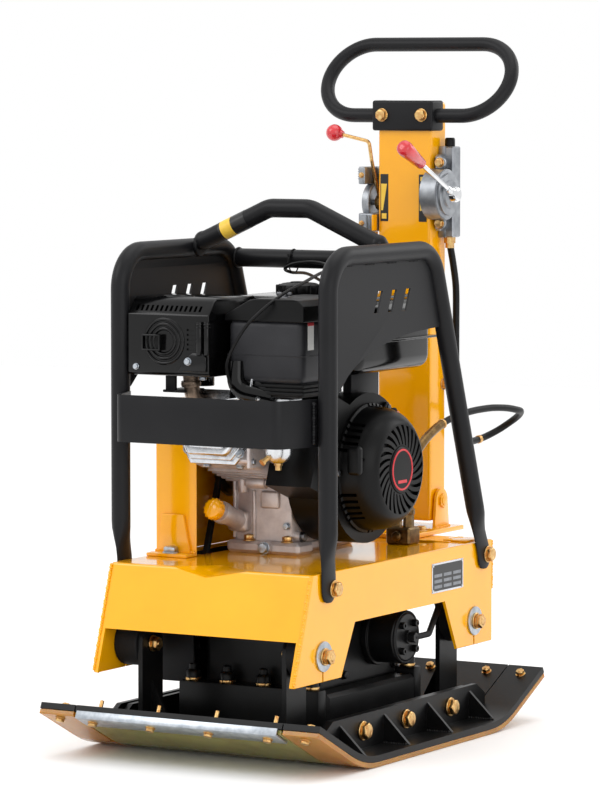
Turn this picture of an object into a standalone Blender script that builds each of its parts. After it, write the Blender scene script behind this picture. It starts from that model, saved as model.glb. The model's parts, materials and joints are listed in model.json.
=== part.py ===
"""Reversible plate compactor: skid plate, exciter, deck, engine, safety frame and folding control column.

Metres, +Z up. The front faces -Y, the starter side is +X, and the machine stands on z = 0.
"""

import math

import bmesh
import bpy
from mathutils import Matrix, Vector

GAP = 0.0003

# Skid: a centre plate with an extension plate bolted to each side, each on its own paving pad.
CENTRE_HALF = 0.185
SKID_HALF = 0.250
SKID_FLAT = 0.185
SKID_RADIUS = 0.200
SKID_ANGLE = math.radians(26)
SKID_REACH = 0.3753
PAD_THICK = 0.008
PLATE_THICK = 0.010
WALL_TOP = 0.070
FLANGE_TOP = 0.072
RIB_SPOTS = (-0.212, -0.072, 0.070, 0.212)

# Deck: the sheet-metal box that carries the engine, on four rubber buffers.
DECK_HALF = 0.181
DECK_TOP = 0.300
DECK_BOTTOM = 0.132
DECK_FRONT = -0.273
DECK_FRONT_FOOT = -0.328
DECK_REAR = 0.320
DECK_SHEET = 0.005
CHUTE_SPAN = (-0.073, -0.006, 0.072)
CHUTE_DEPTH = 0.013
CHUTE_BACK = -0.225
APRON_BOTTOM = 0.200
MOUNT_FRONT = -0.240
MOUNT_REAR = 0.254
MOUNT_HEIGHT = 0.172
BUFFER_RADIUS = 0.036
POST_FACE = 0.134
POST_THICK = 0.008

# Exciter: two geared eccentric shafts in one housing.
SHAFT_FRONT = -0.050
SHAFT_REAR = 0.070
SHAFT_HEIGHT = 0.165
SHAFT_RADIUS = 0.015
GEAR_TEETH = 24
GEAR_PITCH = (SHAFT_REAR - SHAFT_FRONT) / 2

# Engine: horizontal crankshaft along X, cylinder leaning forward.
CRANK_Y = 0.045
CRANK_Z = 0.435
CRANK_RADIUS = 0.0125
CYLINDER_TILT = math.radians(20)
CYLINDER_X = -0.045
BLOCK_RIGHT = 0.016
HEAD_NEAR = 0.166
COVER_NEAR = 0.216
BLOWER_LEFT = 0.0185
BELT_X = -0.137
BELT_INNER = 0.0505
BELT_THICK = 0.008
BELT_WIDTH = 0.013
ROPE_X = 0.140
ROPE_Z = 0.457
SWITCH_Y = 0.129
SWITCH_Z = 0.513

# Safety frame.
TUBE_RADIUS = 0.015
FRAME_X = 0.187
FRAME_TOP = 0.782
FRAME_FRONT = -0.235
BAIL_Y = -0.030
BAIL_Z = 0.785
BUMPER_FRONT = -0.3125
CROSS_Y = 0.097
CROSS_Z = 0.762

# Control column, folding back about a bolt at its foot.
COLUMN_HALF = 0.050
COLUMN_FRONT = 0.345
COLUMN_REAR = 0.400
COLUMN_TOP = 1.014
COLUMN_WALL = 0.004
PIVOT_Y = 0.3725
PIVOT_Z = 0.352
HUB_Y = 0.345
HUB_Z = 0.862
DRUM_Y = 0.374
DRUM_Z = 0.846
LEVER_RISE = math.radians(25)
LEVER_REACH = 0.172
GRIP_START = 0.123

# Radii of the hydraulic hose and of the throttle cable.
HOSE_RADIUS = 0.0058
CABLE_RADIUS = 0.0026

COLOURS = {
    "paint_yellow": ((0.93, 0.50, 0.03), 0.28, 0.0),
    "coat_black": ((0.045, 0.045, 0.05), 0.45, 0.0),
    "skid_black": ((0.02, 0.02, 0.022), 0.5, 0.0),
    "pad_urethane": ((0.55, 0.42, 0.10), 0.3, 0.0),
    "zinc_steel": ((0.55, 0.56, 0.58), 0.35, 1.0),
    "brass_zinc": ((0.62, 0.44, 0.20), 0.3, 1.0),
    "cast_alloy": ((0.55, 0.54, 0.54), 0.45, 0.9),
    "buffer_rubber": ((0.02, 0.02, 0.02), 0.7, 0.0),
    "moulded_black": ((0.025, 0.025, 0.028), 0.4, 0.0),
    "grip_red": ((0.70, 0.06, 0.05), 0.3, 0.0),
    "hose_rubber": ((0.02, 0.02, 0.02), 0.5, 0.0),
    "steel_dark": ((0.25, 0.25, 0.26), 0.4, 1.0),
}


def clear_scene():
    for old in list(bpy.data.objects):
        bpy.data.objects.remove(old)


def new_collection(name):
    made = bpy.data.collections.new(name)
    bpy.context.scene.collection.children.link(made)
    return made


def make_materials():
    made = {}
    for name, (colour, roughness, metallic) in COLOURS.items():
        material = bpy.data.materials.new(name)
        material.use_nodes = True
        shader = material.node_tree.nodes["Principled BSDF"]
        shader.inputs["Base Color"].default_value = (*colour, 1)
        shader.inputs["Roughness"].default_value = roughness
        shader.inputs["Metallic"].default_value = metallic
        made[name] = material
    return made


clear_scene()
MACHINE = new_collection("plate_compactor")
MATERIALS = make_materials()


# ---- shape helpers: each returns an object whose place is in its mesh ----


def from_bmesh(name, mesh_data):
    mesh = bpy.data.meshes.new(name)
    mesh_data.to_mesh(mesh)
    mesh_data.free()
    made = bpy.data.objects.new(name, mesh)
    MACHINE.objects.link(made)
    return made


def box(name, low, high):
    low, high = Vector(low), Vector(high)
    shape = bmesh.new()
    bmesh.ops.create_cube(shape, size=1)
    bmesh.ops.scale(shape, vec=high - low, verts=shape.verts)
    bmesh.ops.translate(shape, vec=(low + high) / 2, verts=shape.verts)
    return from_bmesh(name, shape)


def rod(name, start, end, radius, end_radius=None, sides=24):
    start, end = Vector(start), Vector(end)
    along = end - start
    shape = bmesh.new()
    turn = along.to_track_quat("Z", "Y").to_matrix().to_4x4()
    bmesh.ops.create_cone(
        shape,
        cap_ends=True,
        segments=sides,
        radius1=radius,
        radius2=radius if end_radius is None else end_radius,
        depth=along.length,
        matrix=Matrix.Translation((start + end) / 2) @ turn,
    )
    return from_bmesh(name, shape)


def ball(name, centre, radius, sides=20):
    shape = bmesh.new()
    bmesh.ops.create_uvsphere(
        shape, u_segments=sides, v_segments=sides // 2, radius=radius, matrix=Matrix.Translation(centre)
    )
    return from_bmesh(name, shape)


def as_mesh(curve_object):
    """The object as a plain mesh with its caps welded, in place of the curve."""
    graph = bpy.context.evaluated_depsgraph_get()
    mesh = bpy.data.meshes.new_from_object(curve_object.evaluated_get(graph))
    shape = bmesh.new()
    shape.from_mesh(mesh)
    shape.transform(curve_object.matrix_world)
    bmesh.ops.remove_doubles(shape, verts=shape.verts, dist=0.00001)
    name = curve_object.name
    bpy.data.objects.remove(curve_object)
    return from_bmesh(name, shape)


def tube(name, points, radius, resolution=3):
    data = bpy.data.curves.new(name, "CURVE")
    data.dimensions = "3D"
    data.bevel_depth = radius
    data.bevel_resolution = resolution
    data.use_fill_caps = True
    spline = data.splines.new("POLY")
    spline.points.add(len(points) - 1)
    for spot, point in zip(spline.points, points):
        spot.co = (*point, 1)
    made = bpy.data.objects.new(name, data)
    MACHINE.objects.link(made)
    bpy.context.view_layer.update()
    return as_mesh(made)


PLANES = {
    "YZ": Matrix(((0, 0, 1, 0), (1, 0, 0, 0), (0, 1, 0, 0), (0, 0, 0, 1))),
    "XY": Matrix.Identity(4),
    "ZX": Matrix(((0, 1, 0, 0), (0, 0, 1, 0), (1, 0, 0, 0), (0, 0, 0, 1))),
}


def plate(name, outline, plane, low, high):
    """A flat outline in the named plane, thick from low to high along the plane's normal."""
    data = bpy.data.curves.new(name, "CURVE")
    data.dimensions = "2D"
    data.fill_mode = "BOTH"
    data.extrude = (high - low) / 2
    spline = data.splines.new("POLY")
    spline.points.add(len(outline) - 1)
    for spot, point in zip(spline.points, outline):
        spot.co = (*point, 0, 1)
    spline.use_cyclic_u = True
    made = bpy.data.objects.new(name, data)
    made.matrix_world = PLANES[plane] @ Matrix.Translation((0, 0, (low + high) / 2))
    MACHINE.objects.link(made)
    bpy.context.view_layer.update()
    return as_mesh(made)


def hull(name, points):
    """The smallest convex solid that holds these points."""
    shape = bmesh.new()
    spots = [shape.verts.new(p) for p in points]
    bmesh.ops.convex_hull(shape, input=spots)
    bmesh.ops.recalc_face_normals(shape, faces=shape.faces)
    return from_bmesh(name, shape)


def apply_modifier(made, modifier):
    with bpy.context.temp_override(object=made, active_object=made, selected_objects=[made]):
        bpy.ops.object.modifier_apply(modifier=modifier.name)


def turned(name, profile, origin, along, steps=32):
    """A solid turned from (distance along, radius) points about an axis from origin."""
    mesh = bpy.data.meshes.new(name)
    points = [(radius, 0, distance) for distance, radius in reversed(profile)]
    edges = [(i, i + 1) for i in range(len(points) - 1) if points[i][0] or points[i + 1][0]]
    mesh.from_pydata(points, edges, [])
    made = bpy.data.objects.new(name, mesh)
    MACHINE.objects.link(made)
    screw = made.modifiers.new("turn", "SCREW")
    screw.steps = screw.render_steps = steps
    screw.use_merge_vertices = True
    screw.merge_threshold = 0.00001
    apply_modifier(made, screw)
    turn = Vector(along).to_track_quat("Z", "Y").to_matrix().to_4x4()
    mesh.transform(Matrix.Translation(origin) @ turn)
    shape = bmesh.new()
    shape.from_mesh(mesh)
    bmesh.ops.remove_doubles(shape, verts=shape.verts, dist=0.00001)
    bmesh.ops.recalc_face_normals(shape, faces=shape.faces)
    shape.to_mesh(mesh)
    shape.free()
    return made


def bevelled(made, width, segments=2, angle=40):
    bevel = made.modifiers.new("round", "BEVEL")
    bevel.width = width
    bevel.segments = segments
    bevel.limit_method = "ANGLE"
    bevel.angle_limit = math.radians(angle)
    apply_modifier(made, bevel)
    return made


def combine(made, others, operation):
    for other in others:
        boolean = made.modifiers.new("combine", "BOOLEAN")
        boolean.operation = operation
        boolean.object = other
        apply_modifier(made, boolean)
        bpy.data.objects.remove(other)
    return made


def joined(made, *others):
    return combine(made, others, "UNION")


def cut(made, *others):
    return combine(made, others, "DIFFERENCE")


def mirrored_x(made, name):
    """A second object, the mirror image of made across x = 0."""
    shape = bmesh.new()
    shape.from_mesh(made.data)
    bmesh.ops.scale(shape, vec=(-1, 1, 1), verts=shape.verts)
    bmesh.ops.reverse_faces(shape, faces=shape.faces)
    return from_bmesh(name, shape)


def finish(made, material, origin=(0, 0, 0)):
    """Give a part its material, and put its origin where it turns or slides."""
    made.data.transform(Matrix.Translation(-Vector(origin)))
    made.location = origin
    made.data.materials.clear()
    made.data.materials.append(MATERIALS[material])
    made.data.shade_smooth()
    made.data.set_sharp_from_angle(angle=math.radians(35))
    return made


def arc(centre, radius, start, end, steps):
    """Points on a circle, from start to end in degrees."""
    turns = [math.radians(start + (end - start) * i / steps) for i in range(steps + 1)]
    return [(centre[0] + radius * math.cos(t), centre[1] + radius * math.sin(t)) for t in turns]


def filleted(corners, radius, steps=4):
    """An open path of points with each inner corner rounded."""
    path = [Vector(corners[0])]
    for before, corner, after in zip(corners, corners[1:], corners[2:]):
        before, corner, after = Vector(before), Vector(corner), Vector(after)
        back, on = (before - corner).normalized(), (after - corner).normalized()
        half = back.angle(on) / 2
        reach = radius / math.tan(half)
        middle = corner + (back + on).normalized() * (radius / math.sin(half))
        first, last = corner + back * reach - middle, corner + on * reach - middle
        for i in range(steps + 1):
            share = i / steps
            path.append(middle + first.normalized().slerp(last.normalized(), share) * radius)
    path.append(Vector(corners[-1]))
    return path


# ---- skid ----


def skid_point(travel, lift):
    """(y, z) at a distance travelled along the skid's underside from its middle, lifted along its normal."""
    side = math.copysign(1, travel)
    travel = abs(travel)
    turn = min(max((travel - SKID_FLAT) / SKID_RADIUS, 0), SKID_ANGLE)
    beyond = max(travel - SKID_FLAT - SKID_RADIUS * SKID_ANGLE, 0)
    y = min(travel, SKID_FLAT) + SKID_RADIUS * math.sin(turn) + beyond * math.cos(SKID_ANGLE)
    z = SKID_RADIUS * (1 - math.cos(turn)) + beyond * math.sin(SKID_ANGLE)
    return side * (y - lift * math.sin(turn)), z + lift * math.cos(turn)


ARC_TRAVEL = SKID_FLAT + SKID_RADIUS * SKID_ANGLE
ARC_REACH = SKID_FLAT + SKID_RADIUS * math.sin(SKID_ANGLE)
END_TRAVEL = ARC_TRAVEL + (SKID_REACH - ARC_REACH) / math.cos(SKID_ANGLE)


def skid_travels(inset=0.0):
    curve = [SKID_FLAT + (ARC_TRAVEL - SKID_FLAT) * i / 5 for i in range(6)]
    half = curve + [END_TRAVEL - inset]
    return [-t for t in reversed(half)] + half


def skid_sheet(name, low, high, left, right, inset=0.0):
    travels = skid_travels(inset)
    outline = [skid_point(t, low) for t in travels]
    outline += [skid_point(t, high) for t in reversed(travels)]
    return plate(name, outline, "YZ", left, right)


def floor_height(y):
    """Height of the plate's upper face at a given y."""
    travels = [END_TRAVEL * i / 400 for i in range(401)]
    lift = PAD_THICK + GAP + PLATE_THICK
    return min((skid_point(t, lift) for t in travels), key=lambda p: abs(p[0] - abs(y)))[1]


def wall_outline(reach, top, ends):
    """A side wall standing on the plate: bottom sunk a little into it, ends sloping down."""
    spots = [reach * (i / 4 - 1) for i in range(9)]
    foot = [(y, floor_height(y) - 0.003) for y in spots]
    return foot + [(reach, top - ends), (reach - 0.03, top), (-reach + 0.03, top), (-reach, top - ends)]


def build_skid():
    low = PAD_THICK + GAP
    high = low + PLATE_THICK
    base = skid_sheet("base_plate", low, high, -CENTRE_HALF, CENTRE_HALF)
    walls = [
        plate("wall", wall_outline(0.25, WALL_TOP, 0.02), "YZ", x - 0.0045, x + 0.0045)
        for x in (-CENTRE_HALF + 0.0048, CENTRE_HALF - 0.0048)
    ]
    finish(joined(base, *walls), "skid_black")
    finish(skid_sheet("paving_pad_center", 0, PAD_THICK, -CENTRE_HALF, CENTRE_HALF, 0.001), "pad_urethane")

    inner = CENTRE_HALF + 0.002
    side = skid_sheet("extension_plate_right", low, high, inner, SKID_HALF)
    flange = plate("flange", wall_outline(0.265, FLANGE_TOP, 0.018), "YZ", inner + GAP, inner + 0.009)
    ribs = []
    for y in RIB_SPOTS:
        foot = floor_height(y) - 0.003
        triangle = [(foot, inner + 0.004), (foot, SKID_HALF - 0.006), (FLANGE_TOP - 0.004, inner + 0.004)]
        ribs.append(plate("rib", triangle, "ZX", y - 0.003, y + 0.003))
    joined(side, flange, *ribs)
    finish(side, "skid_black")
    finish(mirrored_x(side, "extension_plate_left"), "skid_black")
    pad = skid_sheet("paving_pad_right", 0, PAD_THICK, inner, SKID_HALF, 0.001)
    finish(pad, "pad_urethane")
    finish(mirrored_x(pad, "paving_pad_left"), "pad_urethane")


def build_strips():
    """Flat bars that clamp the centre pad's ends under the plate's upturned lips."""
    for name, side in (("pad_strip_front", -1), ("pad_strip_rear", 1)):
        ends = (END_TRAVEL - 0.037, END_TRAVEL - 0.0015)
        outline = [skid_point(side * t, -GAP) for t in ends]
        outline += [skid_point(side * t, -0.0043) for t in reversed(ends)]
        strip = plate(name, outline, "YZ", -CENTRE_HALF + 0.006, CENTRE_HALF - 0.006)
        finish(strip, "zinc_steel")


def post_outline(y):
    foot = [(y + step, floor_height(y + step) + 2 * GAP) for step in (-0.030, 0, 0.030)]
    return foot + arc((y, MOUNT_HEIGHT + 0.003), 0.030, 0, 180, 8)


def build_posts():
    for end, y in (("front", MOUNT_FRONT), ("rear", MOUNT_REAR)):
        right = plate(f"post_{end}_right", post_outline(y), "YZ", POST_FACE - POST_THICK, POST_FACE)
        inner = POST_FACE - POST_THICK
        foot = max(floor_height(y - 0.003), floor_height(y + 0.003)) + 2 * GAP
        triangle = [(foot, inner + 0.002), (0.120, inner + 0.002), (foot, inner - 0.042)]
        joined(right, plate("gusset", triangle, "ZX", y - 0.003, y + 0.003))
        finish(right, "skid_black")
        finish(mirrored_x(right, f"post_{end}_left"), "skid_black")
        start = (POST_FACE + GAP, y, MOUNT_HEIGHT)
        stop = (DECK_HALF - DECK_SHEET - GAP, y, MOUNT_HEIGHT)
        buffer = rod(f"rubber_buffer_{end}_right", start, stop, BUFFER_RADIUS, sides=28)
        finish(buffer, "buffer_rubber")
        finish(mirrored_x(buffer, f"rubber_buffer_{end}_left"), "buffer_rubber")


# ---- deck ----


def chute_backing():
    """Metal under the spot where the deck's front edge dips, before the dip is cut."""
    left, dip, right = CHUTE_SPAN
    front, back, top = DECK_FRONT + 0.002, CHUTE_BACK - 0.004, DECK_TOP - 0.002
    under = DECK_SHEET + 0.001
    points = [(left - 0.010, front, z) for z in (top, top - under)]
    points += [(right + 0.010, front, z) for z in (top, top - under)]
    points += [(x, back, z) for x in (dip - 0.020, dip + 0.020) for z in (top, top - under)]
    points.append((dip, front, DECK_TOP - CHUTE_DEPTH - under))
    return hull("chute_backing", points)


def chute_wedge():
    """The dip itself: two facets that fall towards a V in the deck's front edge."""
    left, dip, right = CHUTE_SPAN
    reach = 0.067
    grow = (DECK_FRONT - reach - CHUTE_BACK) / (DECK_FRONT - CHUTE_BACK)
    far = DECK_FRONT - reach
    rim = [(dip + (x - dip) * grow, far) for x in (left, right)] + [(dip, CHUTE_BACK)]
    points = [(x, y, DECK_TOP + lift) for x, y in rim for lift in (0, 0.01)]
    points.append((dip, far, DECK_TOP - CHUTE_DEPTH * grow))
    return hull("chute_wedge", points)


def build_deck():
    outer = [(DECK_FRONT_FOOT, DECK_BOTTOM), (DECK_REAR, DECK_BOTTOM)]
    outer += [(DECK_REAR, DECK_TOP), (DECK_FRONT, DECK_TOP)]
    deck = bevelled(plate("deck", outer, "YZ", -DECK_HALF, DECK_HALF), 0.004)
    sheet = DECK_SHEET
    lean = (DECK_FRONT - DECK_FRONT_FOOT) / (DECK_TOP - DECK_BOTTOM)
    inside = [
        (DECK_FRONT_FOOT + sheet - lean * 0.05, DECK_BOTTOM - 0.05),
        (DECK_REAR - sheet, DECK_BOTTOM - 0.05),
        (DECK_REAR - sheet, DECK_TOP - sheet),
        (DECK_FRONT + sheet - lean * sheet, DECK_TOP - sheet),
    ]
    inner = DECK_HALF - sheet
    hollow = plate("hollow", inside, "YZ", -inner, inner)
    edge = inner - 0.004
    front_gap = box("front_gap", (-edge, -0.40, 0.10), (edge, -0.20, APRON_BOTTOM))
    rear_gap = box("rear_gap", (-edge, 0.30, 0.10), (edge, 0.35, 0.213))
    arch = [(-0.190, 0.12), (0.202, 0.12), (0.154, 0.2145), (-0.140, 0.2145)]
    side_arch = plate("side_arch", arch, "YZ", -0.3, 0.3)
    belt_slot = box("belt_slot", (-0.168, -0.115, 0.28), (-0.110, 0.110, 0.32))
    hose_slot = box("hose_slot", (0.055, 0.200, 0.28), (0.125, 0.235, 0.32))
    for y in (MOUNT_FRONT, MOUNT_REAR):
        cut(deck, box("slit", (-0.3, y - 0.002, 0.12), (0.3, y + 0.002, MOUNT_HEIGHT - 0.006)))
    cut(deck, side_arch, hollow, front_gap, rear_gap, belt_slot, hose_slot)
    joined(deck, chute_backing())
    finish(cut(deck, chute_wedge()), "paint_yellow")


# ---- exciter ----


def gear_outline(phase):
    """Spur gear outline about the origin: four points a tooth."""
    shape = ((-5.2, -0.0058), (-2.2, 0.0042), (2.2, 0.0042), (5.2, -0.0058))
    outline = []
    for tooth in range(GEAR_TEETH):
        for turn, rise in shape:
            angle = math.radians(phase + turn + tooth * 360 / GEAR_TEETH)
            outline.append((math.cos(angle) * (GEAR_PITCH + rise), math.sin(angle) * (GEAR_PITCH + rise)))
    return outline


def build_exciter():
    foot = box("exciter_housing", (-0.130, -0.135, 0.0186), (0.130, 0.150, 0.095))
    bevelled(foot, 0.006, 1)
    body = bevelled(box("body", (-0.098, -0.130, 0.090), (0.098, 0.148, 0.242)), 0.010)
    joined(foot, body)
    cavity = box("cavity", (-0.090, -0.117, 0.098), (0.090, 0.136, 0.232))
    bores = [
        rod("bore", (low, y, SHAFT_HEIGHT), (high, y, SHAFT_HEIGHT), SHAFT_RADIUS + GAP)
        for low, high, y in ((-0.120, 0.094, SHAFT_FRONT), (-0.095, 0.105, SHAFT_REAR))
    ]
    finish(cut(foot, cavity, *bores), "skid_black")

    for name, y, left, phase in (("front", SHAFT_FRONT, -0.160, 0.0), ("rear", SHAFT_REAR, -0.0945, 7.5)):
        shaft = rod(f"exciter_shaft_{name}", (left, y, SHAFT_HEIGHT), (0.0935, y, SHAFT_HEIGHT), SHAFT_RADIUS)
        half_disc = [(y + u, SHAFT_HEIGHT + v) for u, v in arc((0, 0), 0.048, 180, 360, 10)]
        outline = [(y + u, SHAFT_HEIGHT + v) for u, v in gear_outline(phase)]
        gear = plate("gear", outline, "YZ", -0.082, -0.062)
        weight = plate("weight", half_disc, "YZ", -0.045, 0.075)
        finish(joined(shaft, weight, gear), "steel_dark", (0, y, SHAFT_HEIGHT))

    profile = [(0, 0), (0, 0.048), (0.011, 0.048), (0.011, 0.043), (0.054, 0.043), (0.060, 0.037), (0.060, 0)]
    start = (0.0983, SHAFT_REAR, SHAFT_HEIGHT)
    finish(turned("shift_cylinder", profile, start, (1, 0, 0), 24), "skid_black")


# ---- belt drive ----


def grooved_wheel(name, y, z, bore, boss):
    """A V-belt wheel: flanges either side of a groove, and a bore for its shaft."""
    half = 0.0075
    profile = [
        (-0.016, bore),
        (-0.016, 0.058),
        (-half, 0.058),
        (-half + 0.002, 0.0495),
        (half - 0.002, 0.0495),
        (half, 0.058),
        (0.016, 0.058),
        (0.016, boss),
        (0.020, boss),
        (0.020, bore),
        (-0.016, bore),
    ]
    return finish(turned(name, profile, (BELT_X, y, z), (1, 0, 0), 20), "steel_dark", (BELT_X, y, z))


def belt_outline(radius):
    """A loop round both wheels: they are the same size, so its sides are parallel to their centre line."""
    top, low = Vector((CRANK_Y, CRANK_Z)), Vector((SHAFT_FRONT, SHAFT_HEIGHT))
    angle = math.degrees(math.atan2(top.y - low.y, top.x - low.x))
    return arc(top, radius, angle - 90, angle + 90, 12) + arc(low, radius, angle + 90, angle + 270, 12)


def build_belt():
    grooved_wheel("clutch_drum", CRANK_Y, CRANK_Z, CRANK_RADIUS + GAP, 0.022)
    grooved_wheel("exciter_pulley", SHAFT_FRONT, SHAFT_HEIGHT, SHAFT_RADIUS + GAP, 0.024)
    edges = (BELT_X - BELT_WIDTH / 2 + 0.002, BELT_X + BELT_WIDTH / 2 - 0.002)
    belt = plate("v_belt", belt_outline(BELT_INNER + BELT_THICK), "YZ", *edges)
    cut(belt, plate("inside", belt_outline(BELT_INNER), "YZ", -0.2, -0.1))
    finish(belt, "buffer_rubber")


def guard_outline(front, rear, low, high, radius):
    top = arc((rear - radius, high - radius), radius, 0, 90, 5)
    top += arc((front + radius, high - radius), radius, 90, 180, 5)
    return [(front, low), (rear, low)] + top


def build_guards():
    thick = 0.003
    outline = guard_outline(-0.146, 0.150, 0.3003, 0.545, 0.070)
    upper = plate("belt_guard_upper", outline, "YZ", -0.178, -0.1035)
    hollow = guard_outline(-0.146 + thick, 0.150 - thick, 0.28, 0.545 - thick, 0.070 - thick)
    cut(upper, plate("hollow", hollow, "YZ", -0.178 + thick, -0.09))
    foot = box("foot", (-0.178, -0.166, 0.3003), (-0.125, -0.144, 0.306))
    finish(joined(upper, foot), "paint_yellow")

    outline = [(-0.150, 0.100), (0.030, 0.100), (0.108, 0.2945), (-0.165, 0.2945)]
    lower = plate("belt_guard_lower", outline, "YZ", -0.170, -0.104)
    hollow = [(-0.147, 0.103), (0.028, 0.103), (0.108, 0.32), (-0.164, 0.32)]
    cut(lower, plate("hollow", hollow, "YZ", -0.167, -0.09))
    finish(lower, "coat_black")


# ---- engine ----


def along_cylinder(distance, height=0.0):
    """(y, z) at a distance from the crankshaft along the cylinder, and a height square to it."""
    c, s = math.cos(CYLINDER_TILT), math.sin(CYLINDER_TILT)
    return CRANK_Y - distance * c + height * s, CRANK_Z + distance * s + height * c


def cylinder_block(name, near, far, half, left, right):
    corners = [(near, -half), (near, half), (far, half), (far, -half)]
    return plate(name, [along_cylinder(*c) for c in corners], "YZ", left, right)


def build_engine_block():
    block = bevelled(box("engine_block", (-0.095, -0.050, 0.310), (BLOCK_RIGHT, 0.142, 0.512)), 0.012)
    foot = bevelled(box("foot", (-0.100, -0.062, 0.3003), (BLOCK_RIGHT, 0.150, 0.3195)), 0.005, 1)
    ear = bevelled(box("ear", (-0.020, -0.062, 0.3003), (0.034, -0.012, 0.3195)), 0.005, 1)
    barrel = cylinder_block("barrel", 0.03, HEAD_NEAR, 0.047, CYLINDER_X - 0.047, CYLINDER_X + 0.047)
    joined(block, foot, ear, barrel)
    for i in range(5):
        near = 0.090 + i * 0.0145
        fin = cylinder_block("fin", near, near + 0.004, 0.056, CYLINDER_X - 0.055, CYLINDER_X + 0.055)
        joined(block, fin)
    neck_foot, neck_end = Vector((-0.076, -0.040, 0.345)), Vector((-0.082, -0.118, 0.372))
    joined(block, rod("neck", neck_foot, neck_end, 0.017, 0.015, 16))
    centre = (CRANK_Y, CRANK_Z)
    chamber = rod("chamber", (-0.075, *centre), (BLOCK_RIGHT - 0.009, *centre), 0.064, sides=28)
    bores = rod("bores", (-0.2, *centre), (0.2, *centre), CRANK_RADIUS + GAP, sides=20)
    lift = [along_cylinder(d) for d in (0.05, 0.25)]
    cylinder = rod("cylinder", (CYLINDER_X, *lift[0]), (CYLINDER_X, *lift[1]), 0.0385, sides=24)
    finish(cut(block, chamber, bores, cylinder), "cast_alloy")

    near, far = HEAD_NEAR + GAP, COVER_NEAR - GAP
    head = cylinder_block("cylinder_head", near, far, 0.056, CYLINDER_X - 0.058, CYLINDER_X + 0.058)
    finish(bevelled(head, 0.004, 1), "cast_alloy")
    far = COVER_NEAR + 0.0357
    cover = cylinder_block("valve_cover", COVER_NEAR, far, 0.060, CYLINDER_X - 0.070, CYLINDER_X + 0.054)
    finish(bevelled(cover, 0.014, 2), "zinc_steel")
    along = (neck_end - neck_foot).normalized()
    cap = rod("oil_filler_cap", neck_end + along * GAP, neck_end + along * 0.017, 0.0165, 0.015, 20)
    finish(cap, "paint_yellow", neck_end)


def build_crankshaft():
    centre = (CRANK_Y, CRANK_Z)
    shaft = rod("crankshaft", (-0.160, *centre), (-0.046, *centre), CRANK_RADIUS, sides=20)
    web = [(CRANK_Y + u, CRANK_Z + v) for u, v in arc((0, 0), 0.054, 200, 340, 8)]
    web += [(CRANK_Y + 0.018, CRANK_Z + 0.040), (CRANK_Y - 0.018, CRANK_Z + 0.040)]
    pieces = [
        plate("web", web, "YZ", -0.060, -0.046),
        rod("pin", (-0.050, CRANK_Y, CRANK_Z + 0.027), (-0.010, CRANK_Y, CRANK_Z + 0.027), 0.012, sides=16),
        plate("web", web, "YZ", -0.016, -0.002),
        rod("nose", (-0.012, *centre), (0.094, *centre), CRANK_RADIUS, sides=20),
    ]
    finish(joined(shaft, *pieces), "steel_dark", (0, *centre))

    wheel = rod("flywheel_fan", (0.050, *centre), (0.064, *centre), 0.086, sides=32)
    joined(wheel, rod("hub", (0.045, *centre), (0.088, *centre), 0.026, sides=20))
    for i in range(10):
        turn = Matrix.Rotation(i * math.tau / 10, 2)
        blade = [Vector(p) for p in ((0.024, -0.0015), (0.080, -0.0015), (0.080, 0.0015), (0.024, 0.0015))]
        outline = [tuple(turn @ p + Vector(centre)) for p in blade]
        joined(wheel, plate("blade", outline, "YZ", 0.062, 0.084))
    cut(wheel, rod("bore", (0, *centre), (0.2, *centre), CRANK_RADIUS + GAP, sides=20))
    finish(wheel, "cast_alloy", (0.05, *centre))


def build_blower():
    centre = (CRANK_Y, CRANK_Z)
    sheet = 0.003
    housing = rod("blower_housing", (BLOWER_LEFT, *centre), (0.100, *centre), 0.120, sides=40)
    joined(housing, cylinder_block("arm", 0.0, 0.166, 0.078, BLOWER_LEFT, 0.100))
    hollow = rod("hollow", (0.0, *centre), (0.100 - sheet, *centre), 0.120 - sheet, sides=40)
    joined(hollow, cylinder_block("arm", 0.0, 0.166 - sheet, 0.078 - sheet, 0.0, 0.100 - sheet))
    opening = rod("opening", (0.05, *centre), (0.15, *centre), 0.094, sides=32)
    finish(cut(housing, hollow, opening), "moulded_black")

    profile = [(0, 0.1035), (0.004, 0.1035), (0.005, 0.099), (0.034, 0.096)]
    profile += [(0.052, 0.084), (0.060, 0.076), (0.060, 0)]
    inside = [(0.057, 0), (0.057, 0.074), (0.050, 0.0815), (0.033, 0.093), (0.002, 0.096), (0, 0.096)]
    cover = turned("recoil_cover", profile + inside + [(0, 0.1035)], (0.1003, *centre), (1, 0, 0), 30)
    guide = rod("guide", (ROPE_X, -0.090, ROPE_Z), (ROPE_X, 0.0, ROPE_Z), 0.0026, sides=12)
    finish(cut(cover, guide), "moulded_black")

    low, high = (ROPE_X - 0.011, -0.076, ROPE_Z - 0.025), (ROPE_X + 0.011, -0.060, ROPE_Z + 0.025)
    rope = rod("rope", (ROPE_X, -0.064, ROPE_Z), (ROPE_X, 0.110, ROPE_Z), 0.0022, sides=10)
    grip = joined(bevelled(box("starter_grip", low, high), 0.006), rope)
    finish(grip, "moulded_black", (ROPE_X, -0.060, ROPE_Z))

    low, high = (0.1006, SWITCH_Y - 0.007, SWITCH_Z - 0.007), (0.110, SWITCH_Y + 0.007, SWITCH_Z + 0.007)
    finish(bevelled(box("stop_switch", low, high), 0.002, 1), "grip_red", (0.1, SWITCH_Y, SWITCH_Z))


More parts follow.
